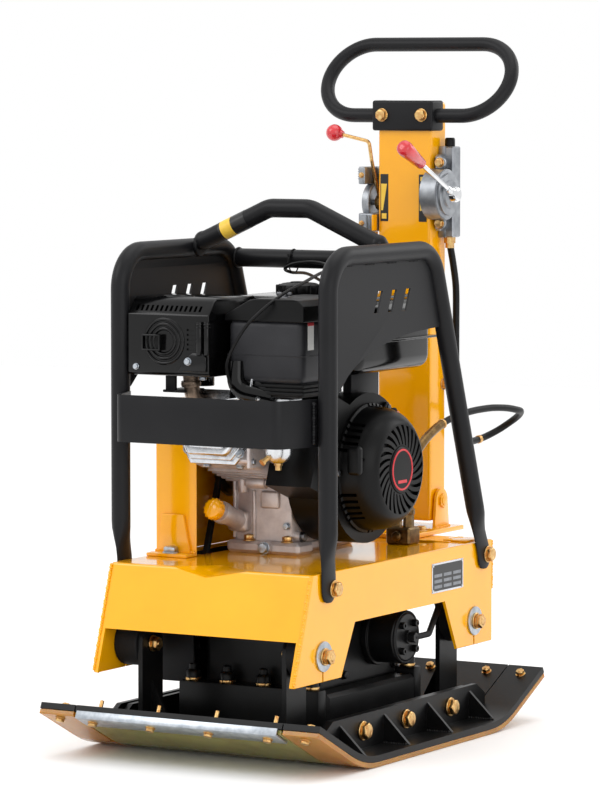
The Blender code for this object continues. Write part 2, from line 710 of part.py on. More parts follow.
def build_tank():
    tank = bevelled(box("fuel_tank", (-0.130, -0.050, 0.588), (0.135, 0.196, 0.704)), 0.022, 3)
    seam = bevelled(box("seam", (-0.138, -0.052, 0.636), (0.143, 0.204, 0.641)), 0.002, 1)
    joined(tank, seam, rod("neck", (0, 0, 0.70), (0, 0, 0.713), 0.026, sides=24))
    cut(tank, rod("mouth", (0, 0, 0.698), (0, 0, 0.73), 0.022, sides=24))
    finish(tank, "moulded_black")
    profile = [(0, 0.0265), (0, 0.035), (0.010, 0.036), (0.016, 0.034), (0.019, 0.028), (0.019, 0)]
    profile += [(0.0035, 0), (0.0035, 0.0265), (0, 0.0265)]
    finish(turned("fuel_cap", profile, (0, 0, 0.710), (0, 0, 1), 24), "moulded_black", (0, 0, 0.710))


def build_intake():
    cleaner = box("air_cleaner", (-0.012, -0.205, 0.582), (0.126, -0.056, 0.714))
    finish(bevelled(cleaner, 0.020, 3), "moulded_black")
    carburettor = box("carburetor", (0.018, -0.188, 0.510), (0.092, -0.146, 0.562))
    bevelled(carburettor, 0.005, 1)
    bowl = rod("bowl", (0.060, -0.168, 0.456), (0.060, -0.168, 0.515), 0.0215, sides=20)
    throat = rod("throat", (0.060, -0.168, 0.555), (0.060, -0.168, 0.5815), 0.018, sides=16)
    finish(joined(carburettor, bowl, throat), "cast_alloy")
    muffler = bevelled(box("muffler", (-0.1705, -0.240, 0.592), (-0.022, -0.095, 0.713)), 0.010)
    port = rod("port", (-0.100, -0.130, 0.57), (-0.100, -0.130, 0.60), 0.018, sides=16)
    finish(joined(muffler, port), "coat_black")


# ---- safety frame ----


def frame_path():
    rear_foot = (0.255, 0.330)
    corners = [(FRAME_FRONT, 0.330), (FRAME_FRONT, FRAME_TOP), (0.094, FRAME_TOP), rear_foot]
    return [tuple(p) for p in filleted(corners, 0.058)]


def build_frame():
    path = [(FRAME_X, y, z) for y, z in frame_path()]
    frame = tube("cage_frame_right", path, TUBE_RADIUS, 3)
    front_foot = [(-0.250, 0.262), (-0.206, 0.262), (-0.206, 0.300)]
    front_foot += [(-0.2215, 0.352), (-0.2485, 0.352), (-0.250, 0.300)]
    rear_foot = [(0.262, 0.262), (0.303, 0.262), (0.303, 0.290)]
    rear_foot += [(0.261, 0.352), (0.234, 0.352), (0.256, 0.290)]
    inner = DECK_HALF + GAP
    feet = [plate("foot", outline, "YZ", inner, inner + 0.006) for outline in (front_foot, rear_foot)]

    inset = TUBE_RADIUS - 0.006
    corners = [(FRAME_FRONT, 0.560), (FRAME_FRONT, FRAME_TOP), (0.094, FRAME_TOP), (0.1375, 0.660)]
    rounded = [tuple(p) for p in filleted(corners, 0.058)]
    top = []
    for before, here, after in zip(rounded, rounded[1:], rounded[2:]):
        along = (Vector(after) - Vector(before)).normalized()
        top.append((here[0] + along.y * inset, here[1] - along.x * inset))
    front = FRAME_FRONT + inset
    bottom = [(0.122, 0.659), (0.042, 0.655), (-0.022, 0.648)]
    bottom += [(-0.077, 0.638), (-0.149, 0.614), (-0.192, 0.585)]
    panel = plate("panel", [(front, 0.560)] + top + bottom, "YZ", FRAME_X - 0.0015, FRAME_X + 0.0015)
    for i in range(3):
        y = -0.095 + i * 0.045
        slot = [(y, 0.690), (y + 0.016, 0.690), (y + 0.030, 0.726), (y + 0.014, 0.726)]
        cut(panel, plate("slot", slot, "YZ", 0.18, 0.21))
    finish(joined(frame, panel, *feet), "coat_black")
    finish(mirrored_x(frame, "cage_frame_left"), "coat_black")

    reach = FRAME_X - TUBE_RADIUS - 0.0005
    ends = (-reach, CROSS_Y, CROSS_Z), (reach, CROSS_Y, CROSS_Z)
    finish(rod("cage_cross_tube", *ends, TUBE_RADIUS, sides=20), "coat_black")

    corners = [(-0.1690, -0.238), (-0.143, BUMPER_FRONT), (0.143, BUMPER_FRONT), (0.1690, -0.238)]
    line = filleted(corners, 0.014)
    outer, inner_line = [], []
    for i, here in enumerate(line):
        along = (line[min(i + 1, len(line) - 1)] - line[max(i - 1, 0)]).normalized()
        side = Vector((along.y, -along.x)) * 0.0025
        outer.append(tuple(here + side))
        inner_line.append(tuple(here - side))
    bumper = plate("front_bumper", outer + inner_line[::-1], "XY", 0.493, 0.566)
    finish(bumper, "coat_black")

    half = [(0.1595, 0.794), (0.1400, 0.802), (0.037, 0.848)]
    knees = [(-x, z) for x, z in half] + [(x, z) for x, z in reversed(half)]
    path = [(p[0], BAIL_Y, p[1]) for p in filleted(knees, 0.04, 3)]
    bail = tube("lifting_bar", path, TUBE_RADIUS, 3)
    for x in (-0.1675, 0.1675):
        tab = arc((BAIL_Y, BAIL_Z), 0.0165, 180, 360, 6)
        tab += [(BAIL_Y + 0.0165, 0.806), (BAIL_Y - 0.0165, 0.806)]
        joined(bail, plate("tab", tab, "YZ", x - 0.003, x + 0.003))
        link_low, link_high = (0.1575, 0.1695) if x > 0 else (-0.1695, -0.1575)
        joined(bail, box("link", (link_low, BAIL_Y - 0.011, 0.786), (link_high, BAIL_Y + 0.011, 0.804)))
    finish(bail, "coat_black", (0, BAIL_Y, BAIL_Z))


# ---- column and controls ----


def build_column():
    bracket = box("column_bracket", (-0.074, 0.236, 0.3003), (0.074, 0.420, 0.308))
    ears = []
    for low, high in ((-0.060, -0.054), (0.054, 0.060)):
        outline = [(0.328, 0.304), (0.418, 0.304)] + arc((PIVOT_Y, PIVOT_Z), 0.030, 0, 180, 8)
        ears.append(plate("ear", outline, "YZ", low, high))
    joined(bracket, *ears)
    hole = rod("hole", (-0.1, PIVOT_Y, PIVOT_Z), (0.1, PIVOT_Y, PIVOT_Z), 0.0083, sides=16)
    finish(cut(bracket, hole), "paint_yellow")

    bolt = rod("column_pivot_bolt", (-0.070, PIVOT_Y, PIVOT_Z), (0.066, PIVOT_Y, PIVOT_Z), 0.008, sides=16)
    head = rod("head", (0.0605, PIVOT_Y, PIVOT_Z), (0.070, PIVOT_Y, PIVOT_Z), 0.0135, sides=6)
    nut = rod("nut", (-0.0705, PIVOT_Y, PIVOT_Z), (-0.0605, PIVOT_Y, PIVOT_Z), 0.0135, sides=6)
    finish(joined(bolt, head, nut), "brass_zinc")

    foot = PIVOT_Z - 0.0335
    column = box("column", (-COLUMN_HALF, COLUMN_FRONT, foot), (COLUMN_HALF, COLUMN_REAR, COLUMN_TOP))
    bevelled(column, 0.006, 2)
    inner = COLUMN_HALF - COLUMN_WALL
    bore = box("bore", (-inner, COLUMN_FRONT + COLUMN_WALL, 0.2), (inner, COLUMN_REAR - COLUMN_WALL, 1.1))
    hole = rod("hole", (-0.1, PIVOT_Y, PIVOT_Z), (0.1, PIVOT_Y, PIVOT_Z), 0.0083, sides=16)
    finish(cut(column, bore, hole), "paint_yellow", (0, PIVOT_Y, PIVOT_Z))


def build_handle():
    clamp = bevelled(box("handle_bar", (-0.0565, 0.336, 0.966), (0.0565, 0.378, 1.016)), 0.004)
    cut(clamp, box("seat", (-COLUMN_HALF - GAP, COLUMN_FRONT - GAP, 0.9), (COLUMN_HALF + GAP, 0.5, 1.1)))
    base, up = Vector((0, 0.357, 0.991)), Vector((0, 0.541, 0.841))
    height, bend = 0.140, 0.070
    flat = [(0.052, 0)] + [(0.101 + u, bend + v) for u, v in arc((0, 0), bend, -90, 90, 9)]
    flat += [(-0.101 + u, bend + v) for u, v in arc((0, 0), bend, 90, 270, 9)] + [(-0.052, 0)]
    path = [base + Vector((s, 0, 0)) + up * min(t, height) for s, t in flat]
    finish(joined(clamp, tube("loop", path, 0.0118, 3)), "coat_black", (0, PIVOT_Y, PIVOT_Z))


def build_control_head():
    head = bevelled(box("control_head", (0.0506, 0.372, 0.790), (0.0775, 0.399, 0.940)), 0.002, 1)
    disc = rod("disc", (0.0512, HUB_Y, HUB_Z), (0.080, HUB_Y, HUB_Z), 0.042, sides=32)
    lugs = [box("lug", (0.0518, 0.352, z), (0.066, 0.380, z + 0.026)) for z in (0.801, 0.901)]
    for lug in lugs:
        bevelled(lug, 0.004, 1)
    joined(head, disc, *lugs)
    spindle_bore = rod("bore", (0.060, HUB_Y, HUB_Z), (0.12, HUB_Y, HUB_Z), 0.0063, sides=16)
    piston_bore = rod("bore", (0.064, 0.386, 0.780), (0.064, 0.386, 0.932), 0.0083, sides=16)
    finish(cut(head, spindle_bore, piston_bore), "cast_alloy", (0, PIVOT_Y, PIVOT_Z))
    piston = rod("control_piston", (0.064, 0.386, 0.829), (0.064, 0.386, 0.889), 0.008, sides=16)
    finish(piston, "steel_dark", (0.064, 0.386, 0.829))

    reach = Vector((0, -math.cos(LEVER_RISE), math.sin(LEVER_RISE)))
    hub = Vector((0.093, HUB_Y, HUB_Z))
    lever = rod("control_lever", (0.062, HUB_Y, HUB_Z), (0.100, HUB_Y, HUB_Z), 0.006, sides=16)
    boss = rod("boss", (0.0803, HUB_Y, HUB_Z), (0.102, HUB_Y, HUB_Z), 0.013, sides=20)
    arm = rod("arm", hub, hub + reach * LEVER_REACH, 0.0042, sides=14)
    finish(joined(lever, boss, arm), "zinc_steel", hub)
    profile = [(0, 0.0046), (0, 0.009), (0.050, 0.0125), (0.066, 0.013), (0.070, 0.0105), (0.071, 0)]
    profile += [(0.052, 0), (0.052, 0.0046), (0, 0.0046)]
    grip = turned("control_grip", profile, hub + reach * GRIP_START, reach, 20)
    finish(grip, "grip_red", hub)


def build_throttle():
    cover = rod("throttle_housing", (-0.0785, DRUM_Y, DRUM_Z), (-0.0662, DRUM_Y, DRUM_Z), 0.034, sides=32)
    pieces = [
        box("top", (-0.0785, 0.330, 0.877), (-0.0662, 0.376, 0.906)),
        box("rear", (-0.0700, 0.370, 0.872), (-0.0506, 0.378, 0.906)),
        box("low", (-0.0785, 0.330, 0.798), (-0.0506, 0.376, 0.829)),
        rod("pin", (-0.070, DRUM_Y, DRUM_Z), (-0.0506, DRUM_Y, DRUM_Z), 0.005, sides=14),
    ]
    finish(joined(cover, *pieces), "cast_alloy", (0, PIVOT_Y, PIVOT_Z))
    pivot = (-0.061, DRUM_Y, DRUM_Z)
    hub = rod("throttle_lever", (-0.0655, DRUM_Y, DRUM_Z), (-0.0565, DRUM_Y, DRUM_Z), 0.013, sides=20)
    corners = [(-0.061, 0.370, 0.856), (-0.061, 0.344, 0.916), (-0.064, 0.340, 0.948), (-0.118, 0.336, 0.960)]
    joined(hub, tube("wire", [tuple(p) for p in filleted(corners, 0.008, 3)], 0.003, 2))
    bore = rod("bore", (-0.09, DRUM_Y, DRUM_Z), (-0.04, DRUM_Y, DRUM_Z), 0.0053, sides=14)
    finish(cut(hub, bore), "brass_zinc", pivot)
    knob = ball("throttle_knob", (-0.127, 0.335, 0.962), 0.014, 16)
    bore = rod("bore", (-0.100, 0.338, 0.9555), (-0.121, 0.3356, 0.9608), 0.0034, sides=12)
    finish(cut(knob, bore), "grip_red", pivot)


# ---- hydraulic hose and throttle cable, both held at their two ends ----

HOSE_ROUTE = (
    (0.0900, 0.1800, 0.3500),
    (0.0900, 0.1830, 0.3850),
    (0.0920, 0.2050, 0.4300),
    (0.0950, 0.2450, 0.4650),
    (0.1000, 0.3000, 0.4890),
    (0.1080, 0.3600, 0.5010),
    (0.1180, 0.4200, 0.5050),
    (0.1270, 0.4650, 0.5030),
    (0.1317, 0.5000, 0.4975),
    (0.1268, 0.5230, 0.4930),
    (0.1134, 0.5400, 0.4840),
    (0.0950, 0.5460, 0.4720),
    (0.0767, 0.5400, 0.4590),
    (0.0632, 0.5230, 0.4490),
    (0.0583, 0.5000, 0.4443),
    (0.0580, 0.4780, 0.4430),
    (0.0585, 0.4560, 0.4435),
    (0.0600, 0.4330, 0.4500),
    (0.0615, 0.4160, 0.4680),
    (0.0630, 0.4095, 0.4920),
    (0.0640, 0.4090, 0.5300),
    (0.0640, 0.4090, 0.5900),
    (0.0640, 0.4090, 0.6500),
    (0.0640, 0.4090, 0.6900),
    (0.0640, 0.4065, 0.7150),
    (0.0640, 0.3975, 0.7475),
    (0.0640, 0.3880, 0.7750),
    (0.0640, 0.3860, 0.7885),
)

CABLE_ROUTE = (
    (-0.0610, 0.3560, 0.7965),
    (-0.0610, 0.3570, 0.7700),
    (-0.0640, 0.3450, 0.7250),
    (-0.0690, 0.3050, 0.7000),
    (-0.0740, 0.2500, 0.7030),
    (-0.0760, 0.2000, 0.7220),
    (-0.0740, 0.1500, 0.7360),
    (-0.0700, 0.0970, 0.7400),
    (-0.0640, 0.0640, 0.7470),
    (-0.0400, 0.0500, 0.7560),
    (-0.0050, 0.0460, 0.7600),
    (0.0300, 0.0300, 0.7580),
    (0.0560, 0.0000, 0.7530),
    (0.0629, -0.0500, 0.7457),
    (0.0722, -0.1200, 0.7335),
    (0.0749, -0.1700, 0.7235),
    (0.0725, -0.2130, 0.7083),
    (0.0567, -0.2240, 0.6920),
    (0.0383, -0.2280, 0.6732),
    (0.0173, -0.2280, 0.6441),
    (0.0030, -0.2260, 0.6180),
    (0.0000, -0.2220, 0.6000),
    (0.0040, -0.2150, 0.5800),
    (0.0140, -0.2060, 0.5600),
    (0.0260, -0.1980, 0.5420),
    (0.0380, -0.1905, 0.5300),
)


def smooth(route, count):
    """Points at even steps of a Catmull-Rom curve through a route."""
    points = [Vector(p) for p in route]
    points = [points[0] * 2 - points[1], *points, points[-1] * 2 - points[-2]]
    path = []
    for i in range(count):
        spot = i * (len(route) - 1) / (count - 1)
        k = min(int(spot), len(route) - 2)
        t = spot - k
        a, b, c, d = points[k : k + 4]
        square, cube = 2 * a - 5 * b + 4 * c - d, 3 * b - a - 3 * c + d
        path.append(0.5 * (2 * b + (c - a) * t + square * t**2 + cube * t**3))
    return path


def build_lines():
    fitting = bevelled(box("hydraulic_fitting", (0.068, 0.160, 0.3003), (0.112, 0.198, 0.328)), 0.003, 1)
    unions = [rod("union", (x, 0.180, 0.325), (x, 0.180, 0.3495), 0.009, sides=6) for x in (0.078, 0.100)]
    joined(fitting, *unions)
    cut(fitting, rod("seat", (0.090, 0.180, 0.340), (0.090, 0.180, 0.36), 0.0065, sides=12))
    finish(fitting, "brass_zinc")
    finish(tube("hydraulic_hose", smooth(HOSE_ROUTE, 55), HOSE_RADIUS, 2), "hose_rubber")
    finish(tube("throttle_cable", smooth(CABLE_ROUTE, 58), CABLE_RADIUS, 1), "hose_rubber")


build_skid()
build_strips()
build_posts()
build_deck()
build_exciter()
build_belt()
build_guards()
build_engine_block()
build_crankshaft()
build_blower()
build_tank()
build_intake()
build_frame()
build_column()
build_handle()
build_control_head()
build_throttle()
build_lines()
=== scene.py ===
"""Looks of the reversible plate compactor: final meshes and finishes on its frame, in metres, +Z up."""

import json
import math

import bpy
from mathutils import Matrix, Vector


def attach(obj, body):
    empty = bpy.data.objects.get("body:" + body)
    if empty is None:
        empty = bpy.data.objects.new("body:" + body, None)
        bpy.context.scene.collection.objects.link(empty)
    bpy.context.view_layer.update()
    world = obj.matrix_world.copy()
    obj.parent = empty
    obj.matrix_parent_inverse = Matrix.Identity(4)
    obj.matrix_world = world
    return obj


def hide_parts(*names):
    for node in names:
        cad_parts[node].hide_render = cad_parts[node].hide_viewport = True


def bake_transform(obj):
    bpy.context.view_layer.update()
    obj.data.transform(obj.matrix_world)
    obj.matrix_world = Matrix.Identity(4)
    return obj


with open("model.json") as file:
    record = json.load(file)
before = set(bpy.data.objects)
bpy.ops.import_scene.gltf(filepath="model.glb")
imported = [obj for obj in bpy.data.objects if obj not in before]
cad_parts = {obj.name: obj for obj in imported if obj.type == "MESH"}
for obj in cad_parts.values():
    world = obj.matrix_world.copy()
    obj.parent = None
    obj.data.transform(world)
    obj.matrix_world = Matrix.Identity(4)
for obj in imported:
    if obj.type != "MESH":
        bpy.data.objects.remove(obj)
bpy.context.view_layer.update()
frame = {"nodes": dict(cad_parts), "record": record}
ops = bpy.ops

# The camera stands ahead and to the right of the machine, a little above the handle's foot.
CAMERA_PLACE = (3.3715, -5.7993, 1.0602)
CAMERA_TURN = math.radians(30.164)
CAMERA_DIP = math.radians(4.408)
CAMERA_LENS = 190.49
FLOOR_DROP = 0.0004


def make_camera():
    camera = bpy.data.objects.new("camera", bpy.data.cameras.new("camera"))
    bpy.context.scene.collection.objects.link(camera)
    turn, dip = CAMERA_TURN, CAMERA_DIP
    ahead = Vector((-math.sin(turn) * math.cos(dip), math.cos(turn) * math.cos(dip), -math.sin(dip)))
    camera.location = CAMERA_PLACE
    camera.rotation_euler = ahead.to_track_quat("-Z", "Y").to_euler()
    camera.data.lens = CAMERA_LENS
    camera.data.sensor_width = 36
    camera.data.clip_end = 50
    bpy.context.scene.camera = camera


make_camera()


# ---- materials ----


def add(tree, kind, inputs=(), **settings):
    """A shader node with its settings; an input is given a value, or linked where it is given a socket."""
    node = tree.nodes.new("ShaderNode" + kind)
    for name, value in settings.items():
        setattr(node, name, value)
    for name, value in dict(inputs).items():
        if isinstance(value, bpy.types.NodeSocket):
            tree.links.new(value, node.inputs[name])
        else:
            node.inputs[name].default_value = value
    return node


def linear(hex_colour):
    """An sRGB hex colour as linear RGBA."""
    parts = [int(hex_colour[i : i + 2], 16) / 255 for i in (1, 3, 5)]
    return (*[c / 12.92 if c <= 0.04045 else ((c + 0.055) / 1.055) ** 2.4 for c in parts], 1)


def finish_of(name, light, dark, rough, patch_mm, grain_mm, grain_depth_mm, grit=2.0, **sockets):
    """A surface with slow colour and gloss patches and a fine grain, both sized in millimetres.

    light and dark are the two ends of its colour, rough the two ends of its roughness."""
    made = bpy.data.materials.new(name)
    made.use_nodes = True
    tree = made.node_tree
    shader = tree.nodes["Principled BSDF"]
    place = add(tree, "TexCoord").outputs["Object"]
    patches = add(
        tree, "TexNoise", {"Vector": place, "Scale": 1000 / patch_mm, "Detail": 4, "Roughness": 0.6},
    )
    steep = add(tree, "MapRange", {"Value": patches.outputs["Fac"], "From Min": 0.32, "From Max": 0.68})
    colour = add(tree, "Mix", {"Factor": steep.outputs["Result"]}, data_type="RGBA")
    colour.inputs[6].default_value = linear(dark)
    colour.inputs[7].default_value = linear(light)
    tree.links.new(colour.outputs[2], shader.inputs["Base Color"])
    gloss = add(tree, "MapRange", {"Value": patches.outputs["Fac"], "To Min": rough[0], "To Max": rough[1]})
    tree.links.new(gloss.outputs["Result"], shader.inputs["Roughness"])
    grain = add(tree, "TexNoise", {"Vector": place, "Scale": 1000 / grain_mm, "Detail": grit})
    bump = add(
        tree, "Bump", {"Height": grain.outputs["Fac"], "Distance": grain_depth_mm / 1000, "Strength": 1},
    )
    tree.links.new(bump.outputs["Normal"], shader.inputs["Normal"])
    for socket, value in sockets.items():
        shader.inputs[socket.replace("_", " ")].default_value = value
    return made


def make_materials():
    made = {}
    # Stoved yellow enamel: wet gloss over a faint orange peel, 3 mm from crest to crest.
    made["yellow_enamel"] = finish_of(
        "yellow_enamel",
        "#FBB000",
        "#F6A800",
        (0.12, 0.18),
        160,
        3.0,
        0.006,
        Specular_IOR_Level=0.45,
        Coat_Weight=0.5,
        Coat_Roughness=0.03,
    )
    # Black polyester powder coat on tube: satin, with a fine leathery grain drawn at 1.2 mm so that it shows.
    made["black_powder_coat"] = finish_of(
        "black_powder_coat", "#171719", "#121214", (0.36, 0.48), 90, 1.2, 0.02, Specular_IOR_Level=0.2
    )
    # Brushed-on black chassis paint over flame-cut plate: uneven gloss and the plate's mill scale beneath.
    made["skid_paint"] = finish_of(
        "skid_paint", "#0F0F10", "#090909", (0.26, 0.46), 40, 5.0, 0.06, 4.0, Specular_IOR_Level=0.22
    )
    # Cast polyurethane sheet: amber and see-through at its edges, smooth, with a slow ripple from the mould.
    made["polyurethane"] = finish_of(
        "polyurethane",
        "#DB9A32",
        "#C28328",
        (0.16, 0.28),
        70,
        30,
        0.3,
        Transmission_Weight=0.45,
        IOR=1.5,
        Subsurface_Weight=0.3,
        Subsurface_Scale=0.01,
    )
    # The centre mat is a thicker, olive cast of the same polyurethane.
    made["olive_polyurethane"] = finish_of(
        "olive_polyurethane",
        "#A39A55",
        "#857D3E",
        (0.18, 0.30),
        90,
        30,
        0.3,
        Transmission_Weight=0.3,
        IOR=1.5,
        Subsurface_Weight=0.25,
        Subsurface_Scale=0.01,
    )
    # Clear zinc plate: cool bright metal with soft cloudy patches.
    made["clear_zinc"] = finish_of(
        "clear_zinc", "#C3C8CE", "#9FA6AE", (0.28, 0.42), 12, 1.0, 0.01, Metallic=1.0,
    )
    # Yellow-passivated zinc: gold that drifts to pink and brown over each screw.
    made["yellow_zinc"] = finish_of(
        "yellow_zinc", "#E2C283", "#C08A52", (0.22, 0.36), 6, 0.8, 0.01, Metallic=1.0,
    )
    # Sand-cast aluminium: pale, warm grey metal with the sand's 1.5 mm grit in its skin.
    made["cast_aluminium"] = finish_of(
        "cast_aluminium", "#D8D0CE", "#BBB1AF", (0.40, 0.55), 25, 1.5, 0.10, 4.0, Metallic=0.6
    )
    # Die-cast zinc control bodies: darker and smoother than the engine's castings.
    made["die_casting"] = finish_of(
        "die_casting", "#A3A6AA", "#83868B", (0.32, 0.46), 18, 1.2, 0.05, Metallic=0.9,
    )
    # Machined or tumbled aluminium: brighter, with a tight grain.
    made["bright_aluminium"] = finish_of(
        "bright_aluminium", "#DADCDF", "#BDBFC2", (0.20, 0.30), 15, 0.8, 0.01, Metallic=1.0
    )
    # Decorative chrome on steel rod: a mirror with a trace of haze.
    made["chrome"] = finish_of("chrome", "#E6E7E8", "#D2D4D6", (0.06, 0.12), 20, 2.0, 0.002, Metallic=1.0)
    # Bronze-toned zinc on the oil fitting and the rigid pipe: darker and browner than the screws.
    made["bronzed_zinc"] = finish_of(
        "bronzed_zinc", "#8A6E45", "#57452F", (0.26, 0.40), 9, 0.8, 0.02, Metallic=1.0,
    )
    # Steel pipe tinted straw and brown by the exhaust's heat.
    made["heated_steel"] = finish_of(
        "heated_steel", "#8E7C6C", "#5E5148", (0.32, 0.46), 16, 0.8, 0.02, Metallic=1.0,
    )
    # Turned and oiled steel on wheels and shafts.
    made["machined_steel"] = finish_of(
        "machined_steel", "#7C7D80", "#595A5D", (0.28, 0.44), 14, 0.8, 0.02, Metallic=1.0
    )
    # Moulded natural rubber: dead black with a chalky bloom.
    made["natural_rubber"] = finish_of(
        "natural_rubber", "#1A1A1B", "#111112", (0.55, 0.70), 30, 1.0, 0.05, Specular_IOR_Level=0.2,
    )
    # Moulded nylon covers with a spark-eroded grain of about 1 mm.
    made["moulded_nylon"] = finish_of(
        "moulded_nylon", "#0A0A0B", "#070707", (0.30, 0.42), 60, 1.0, 0.03, Specular_IOR_Level=0.18
    )
    # Blow-moulded polyethylene and pressed shields with a polished skin.
    made["gloss_black"] = finish_of(
        "gloss_black", "#060607", "#040404", (0.10, 0.17), 80, 8.0, 0.02, Specular_IOR_Level=0.3
    )
    # Moulded polypropylene air-filter case: charcoal grey and matt.
    made["charcoal_plastic"] = finish_of(
        "charcoal_plastic", "#2C2C2F", "#242427", (0.40, 0.52), 50, 1.0, 0.04, Specular_IOR_Level=0.3
    )
    # Glossy red phenolic knobs.
    made["red_phenolic"] = finish_of(
        "red_phenolic", "#D8323A", "#C2242E", (0.16, 0.24), 14, 4.0, 0.02, Coat_Weight=0.5,
    )
    # Extruded hose cover: soft black with a cloth-wrapped imprint.
    made["hose_cover"] = finish_of(
        "hose_cover", "#111112", "#0B0B0C", (0.38, 0.50), 12, 1.2, 0.06, Specular_IOR_Level=0.2
    )
    # Matt black for the valve cover's gasket and the switch bezel, and painted shade for the unlit inside of
    # vents and sockets.
    made["soot_black"] = finish_of("soot_black", "#080808", "#050505", (0.80, 0.90), 20, 1.0, 0.02)
    # Printed vinyl for the plain warning-coloured labels: flat yellow or black film.
    made["yellow_vinyl"] = finish_of("yellow_vinyl", "#F2C94C", "#E9BD3A", (0.30, 0.38), 20, 2.0, 0.005)
    made["black_vinyl"] = finish_of("black_vinyl", "#1A1A1B", "#121213", (0.30, 0.38), 20, 2.0, 0.005)
    # Off-white vinyl for the plain label on the air filter.
    made["white_vinyl"] = finish_of("white_vinyl", "#EDEDEA", "#E2E2DE", (0.34, 0.42), 20, 2.0, 0.005)
    # Brushed aluminium plate with a baked satin face, left blank.
    made["plate_face"] = finish_of(
        "plate_face", "#8D9095", "#797C81", (0.30, 0.40), 9, 0.6, 0.01, Metallic=0.7,
    )
    # Oil-resistant red silicone ring around the starter's badge.
    made["red_ring"] = finish_of("red_ring", "#D5303A", "#C4262F", (0.30, 0.40), 10, 2.0, 0.01)
    return made


MATERIAL = make_materials()


# ---- modelling helpers ----


def only(piece):
    ops.object.select_all(action="DESELECT")
    piece.select_set(True)
    bpy.context.view_layer.objects.active = piece


def named(name):
    """The object that an operator has just added, named and with its place moved into its mesh."""
    made = bpy.context.active_object
    made.name = name
    made.data.name = name
    only(made)
    ops.object.transform_apply(location=True, rotation=True, scale=True)
    return made


def modify(piece, kind, **settings):
    """Add a modifier with these settings and apply it."""
    only(piece)
    modifier = piece.modifiers.new(kind.lower(), kind)
    for name, value in settings.items():
        setattr(modifier, name, value)
    ops.object.modifier_apply(modifier=modifier.name)
    return piece


def soften(piece, width, steps=2, angle=35):
    if width:
        modify(
            piece, "BEVEL", width=width, segments=steps, limit_method="ANGLE", angle_limit=math.radians(
                angle
            )
        )
    return piece


def block(name, low, high, edge=0.0, steps=2):
    low, high = Vector(low), Vector(high)
    ops.object.select_all(action="DESELECT")
    ops.mesh.primitive_cube_add(size=1, location=(low + high) / 2, scale=high - low)
    return soften(named(name), edge, steps)


def bar(name, start, end, radius, sides=32, edge=0.0, steps=2, far_radius=None):
    """A round or many-sided bar from start to end, tapering to far_radius where that is given."""
    start, end = Vector(start), Vector(end)
    along = end - start
    ops.object.select_all(action="DESELECT")
    ops.mesh.primitive_cone_add(
        vertices=sides,
        radius1=radius,
        radius2=radius if far_radius is None else far_radius,
        depth=along.length,
        location=(start + end) / 2,
        rotation=along.to_track_quat("Z", "Y").to_euler(),
    )
    return soften(named(name), edge, steps)


def sphere(name, centre, radius, sides=40):
    ops.object.select_all(action="DESELECT")
    ops.mesh.primitive_uv_sphere_add(segments=sides, ring_count=sides // 2, radius=radius, location=centre)
    return named(name)


def ring(name, centre, along, radius, thickness, sides=48):
    turn = Vector(along).to_track_quat("Z", "Y").to_euler()
    ops.object.select_all(action="DESELECT")
    ops.mesh.primitive_torus_add(
        major_radius=radius,
        minor_radius=thickness,
        major_segments=sides,
        minor_segments=12,
        location=centre,
        rotation=turn,
    )
    return named(name)


def turned(name, profile, origin, along, sides=64, edge=0.0, steps=2):
    """A solid drawn out of a disc: profile is (distance along, radius), extruded and scaled step by step."""
    ops.object.select_all(action="DESELECT")
    ops.mesh.primitive_circle_add(
        vertices=sides, radius=profile[0][1], fill_type="NGON", location=(0, 0, profile[0][0])
    )
    made = bpy.context.active_object
    ops.object.mode_set(mode="EDIT")
    ops.mesh.select_all(action="SELECT")
    for (low, narrow), (high, wide) in zip(profile, profile[1:]):
        ops.mesh.extrude_region_move(TRANSFORM_OT_translate={"value": (0, 0, high - low)})
        grow = wide / narrow
        ops.transform.resize(value=(grow, grow, 1), center_override=(0, 0, high))
    ops.mesh.select_all(action="SELECT")
    ops.mesh.normals_make_consistent(inside=False)
    ops.object.mode_set(mode="OBJECT")
    made.location = origin
    made.rotation_euler = Vector(along).to_track_quat("Z", "Y").to_euler()
    return soften(named(name), edge, steps)


def from_curve(name, data, matrix=None):
    made = bpy.data.objects.new(name, data)
    bpy.context.scene.collection.objects.link(made)
    if matrix is not None:
        made.matrix_world = matrix
    only(made)
    ops.object.convert(target="MESH")
    made = named(name)
    ops.object.mode_set(mode="EDIT")
    ops.mesh.select_all(action="SELECT")
    ops.mesh.remove_doubles(threshold=0.00001)
    ops.object.mode_set(mode="OBJECT")
    return made


def pipe(name, points, radius, roundness=6):
    """A round tube along points, capped at both ends."""
    data = bpy.data.curves.new(name, "CURVE")
    data.dimensions = "3D"
    data.bevel_depth = radius
    data.bevel_resolution = roundness
    data.use_fill_caps = True
    spline = data.splines.new("POLY")
    spline.points.add(len(points) - 1)
    for spot, point in zip(spline.points, points):
        spot.co = (*point, 1)
    return from_curve(name, data)


PLANES = {
    "YZ": Matrix(((0, 0, 1, 0), (1, 0, 0, 0), (0, 1, 0, 0), (0, 0, 0, 1))),
    "XY": Matrix.Identity(4),
    "XZ": Matrix(((1, 0, 0, 0), (0, 0, -1, 0), (0, 1, 0, 0), (0, 0, 0, 1))),
}


def plate(name, outline, plane, low, high, edge=0.0, steps=2, holes=()):
    """A flat outline, with any holes, thick from low to high along its plane's normal."""
    data = bpy.data.curves.new(name, "CURVE")
    data.dimensions = "2D"
    data.fill_mode = "BOTH"
    data.extrude = (high - low) / 2
    for line in (outline, *holes):
        spline = data.splines.new("POLY")
        spline.points.add(len(line) - 1)
        for spot, point in zip(spline.points, line):
            spot.co = (*point, 0, 1)
        spline.use_cyclic_u = True
    side = -1 if plane == "XZ" else 1
    made = from_curve(name, data, PLANES[plane] @ Matrix.Translation((0, 0, side * (low + high) / 2)))
    return soften(made, edge, steps)


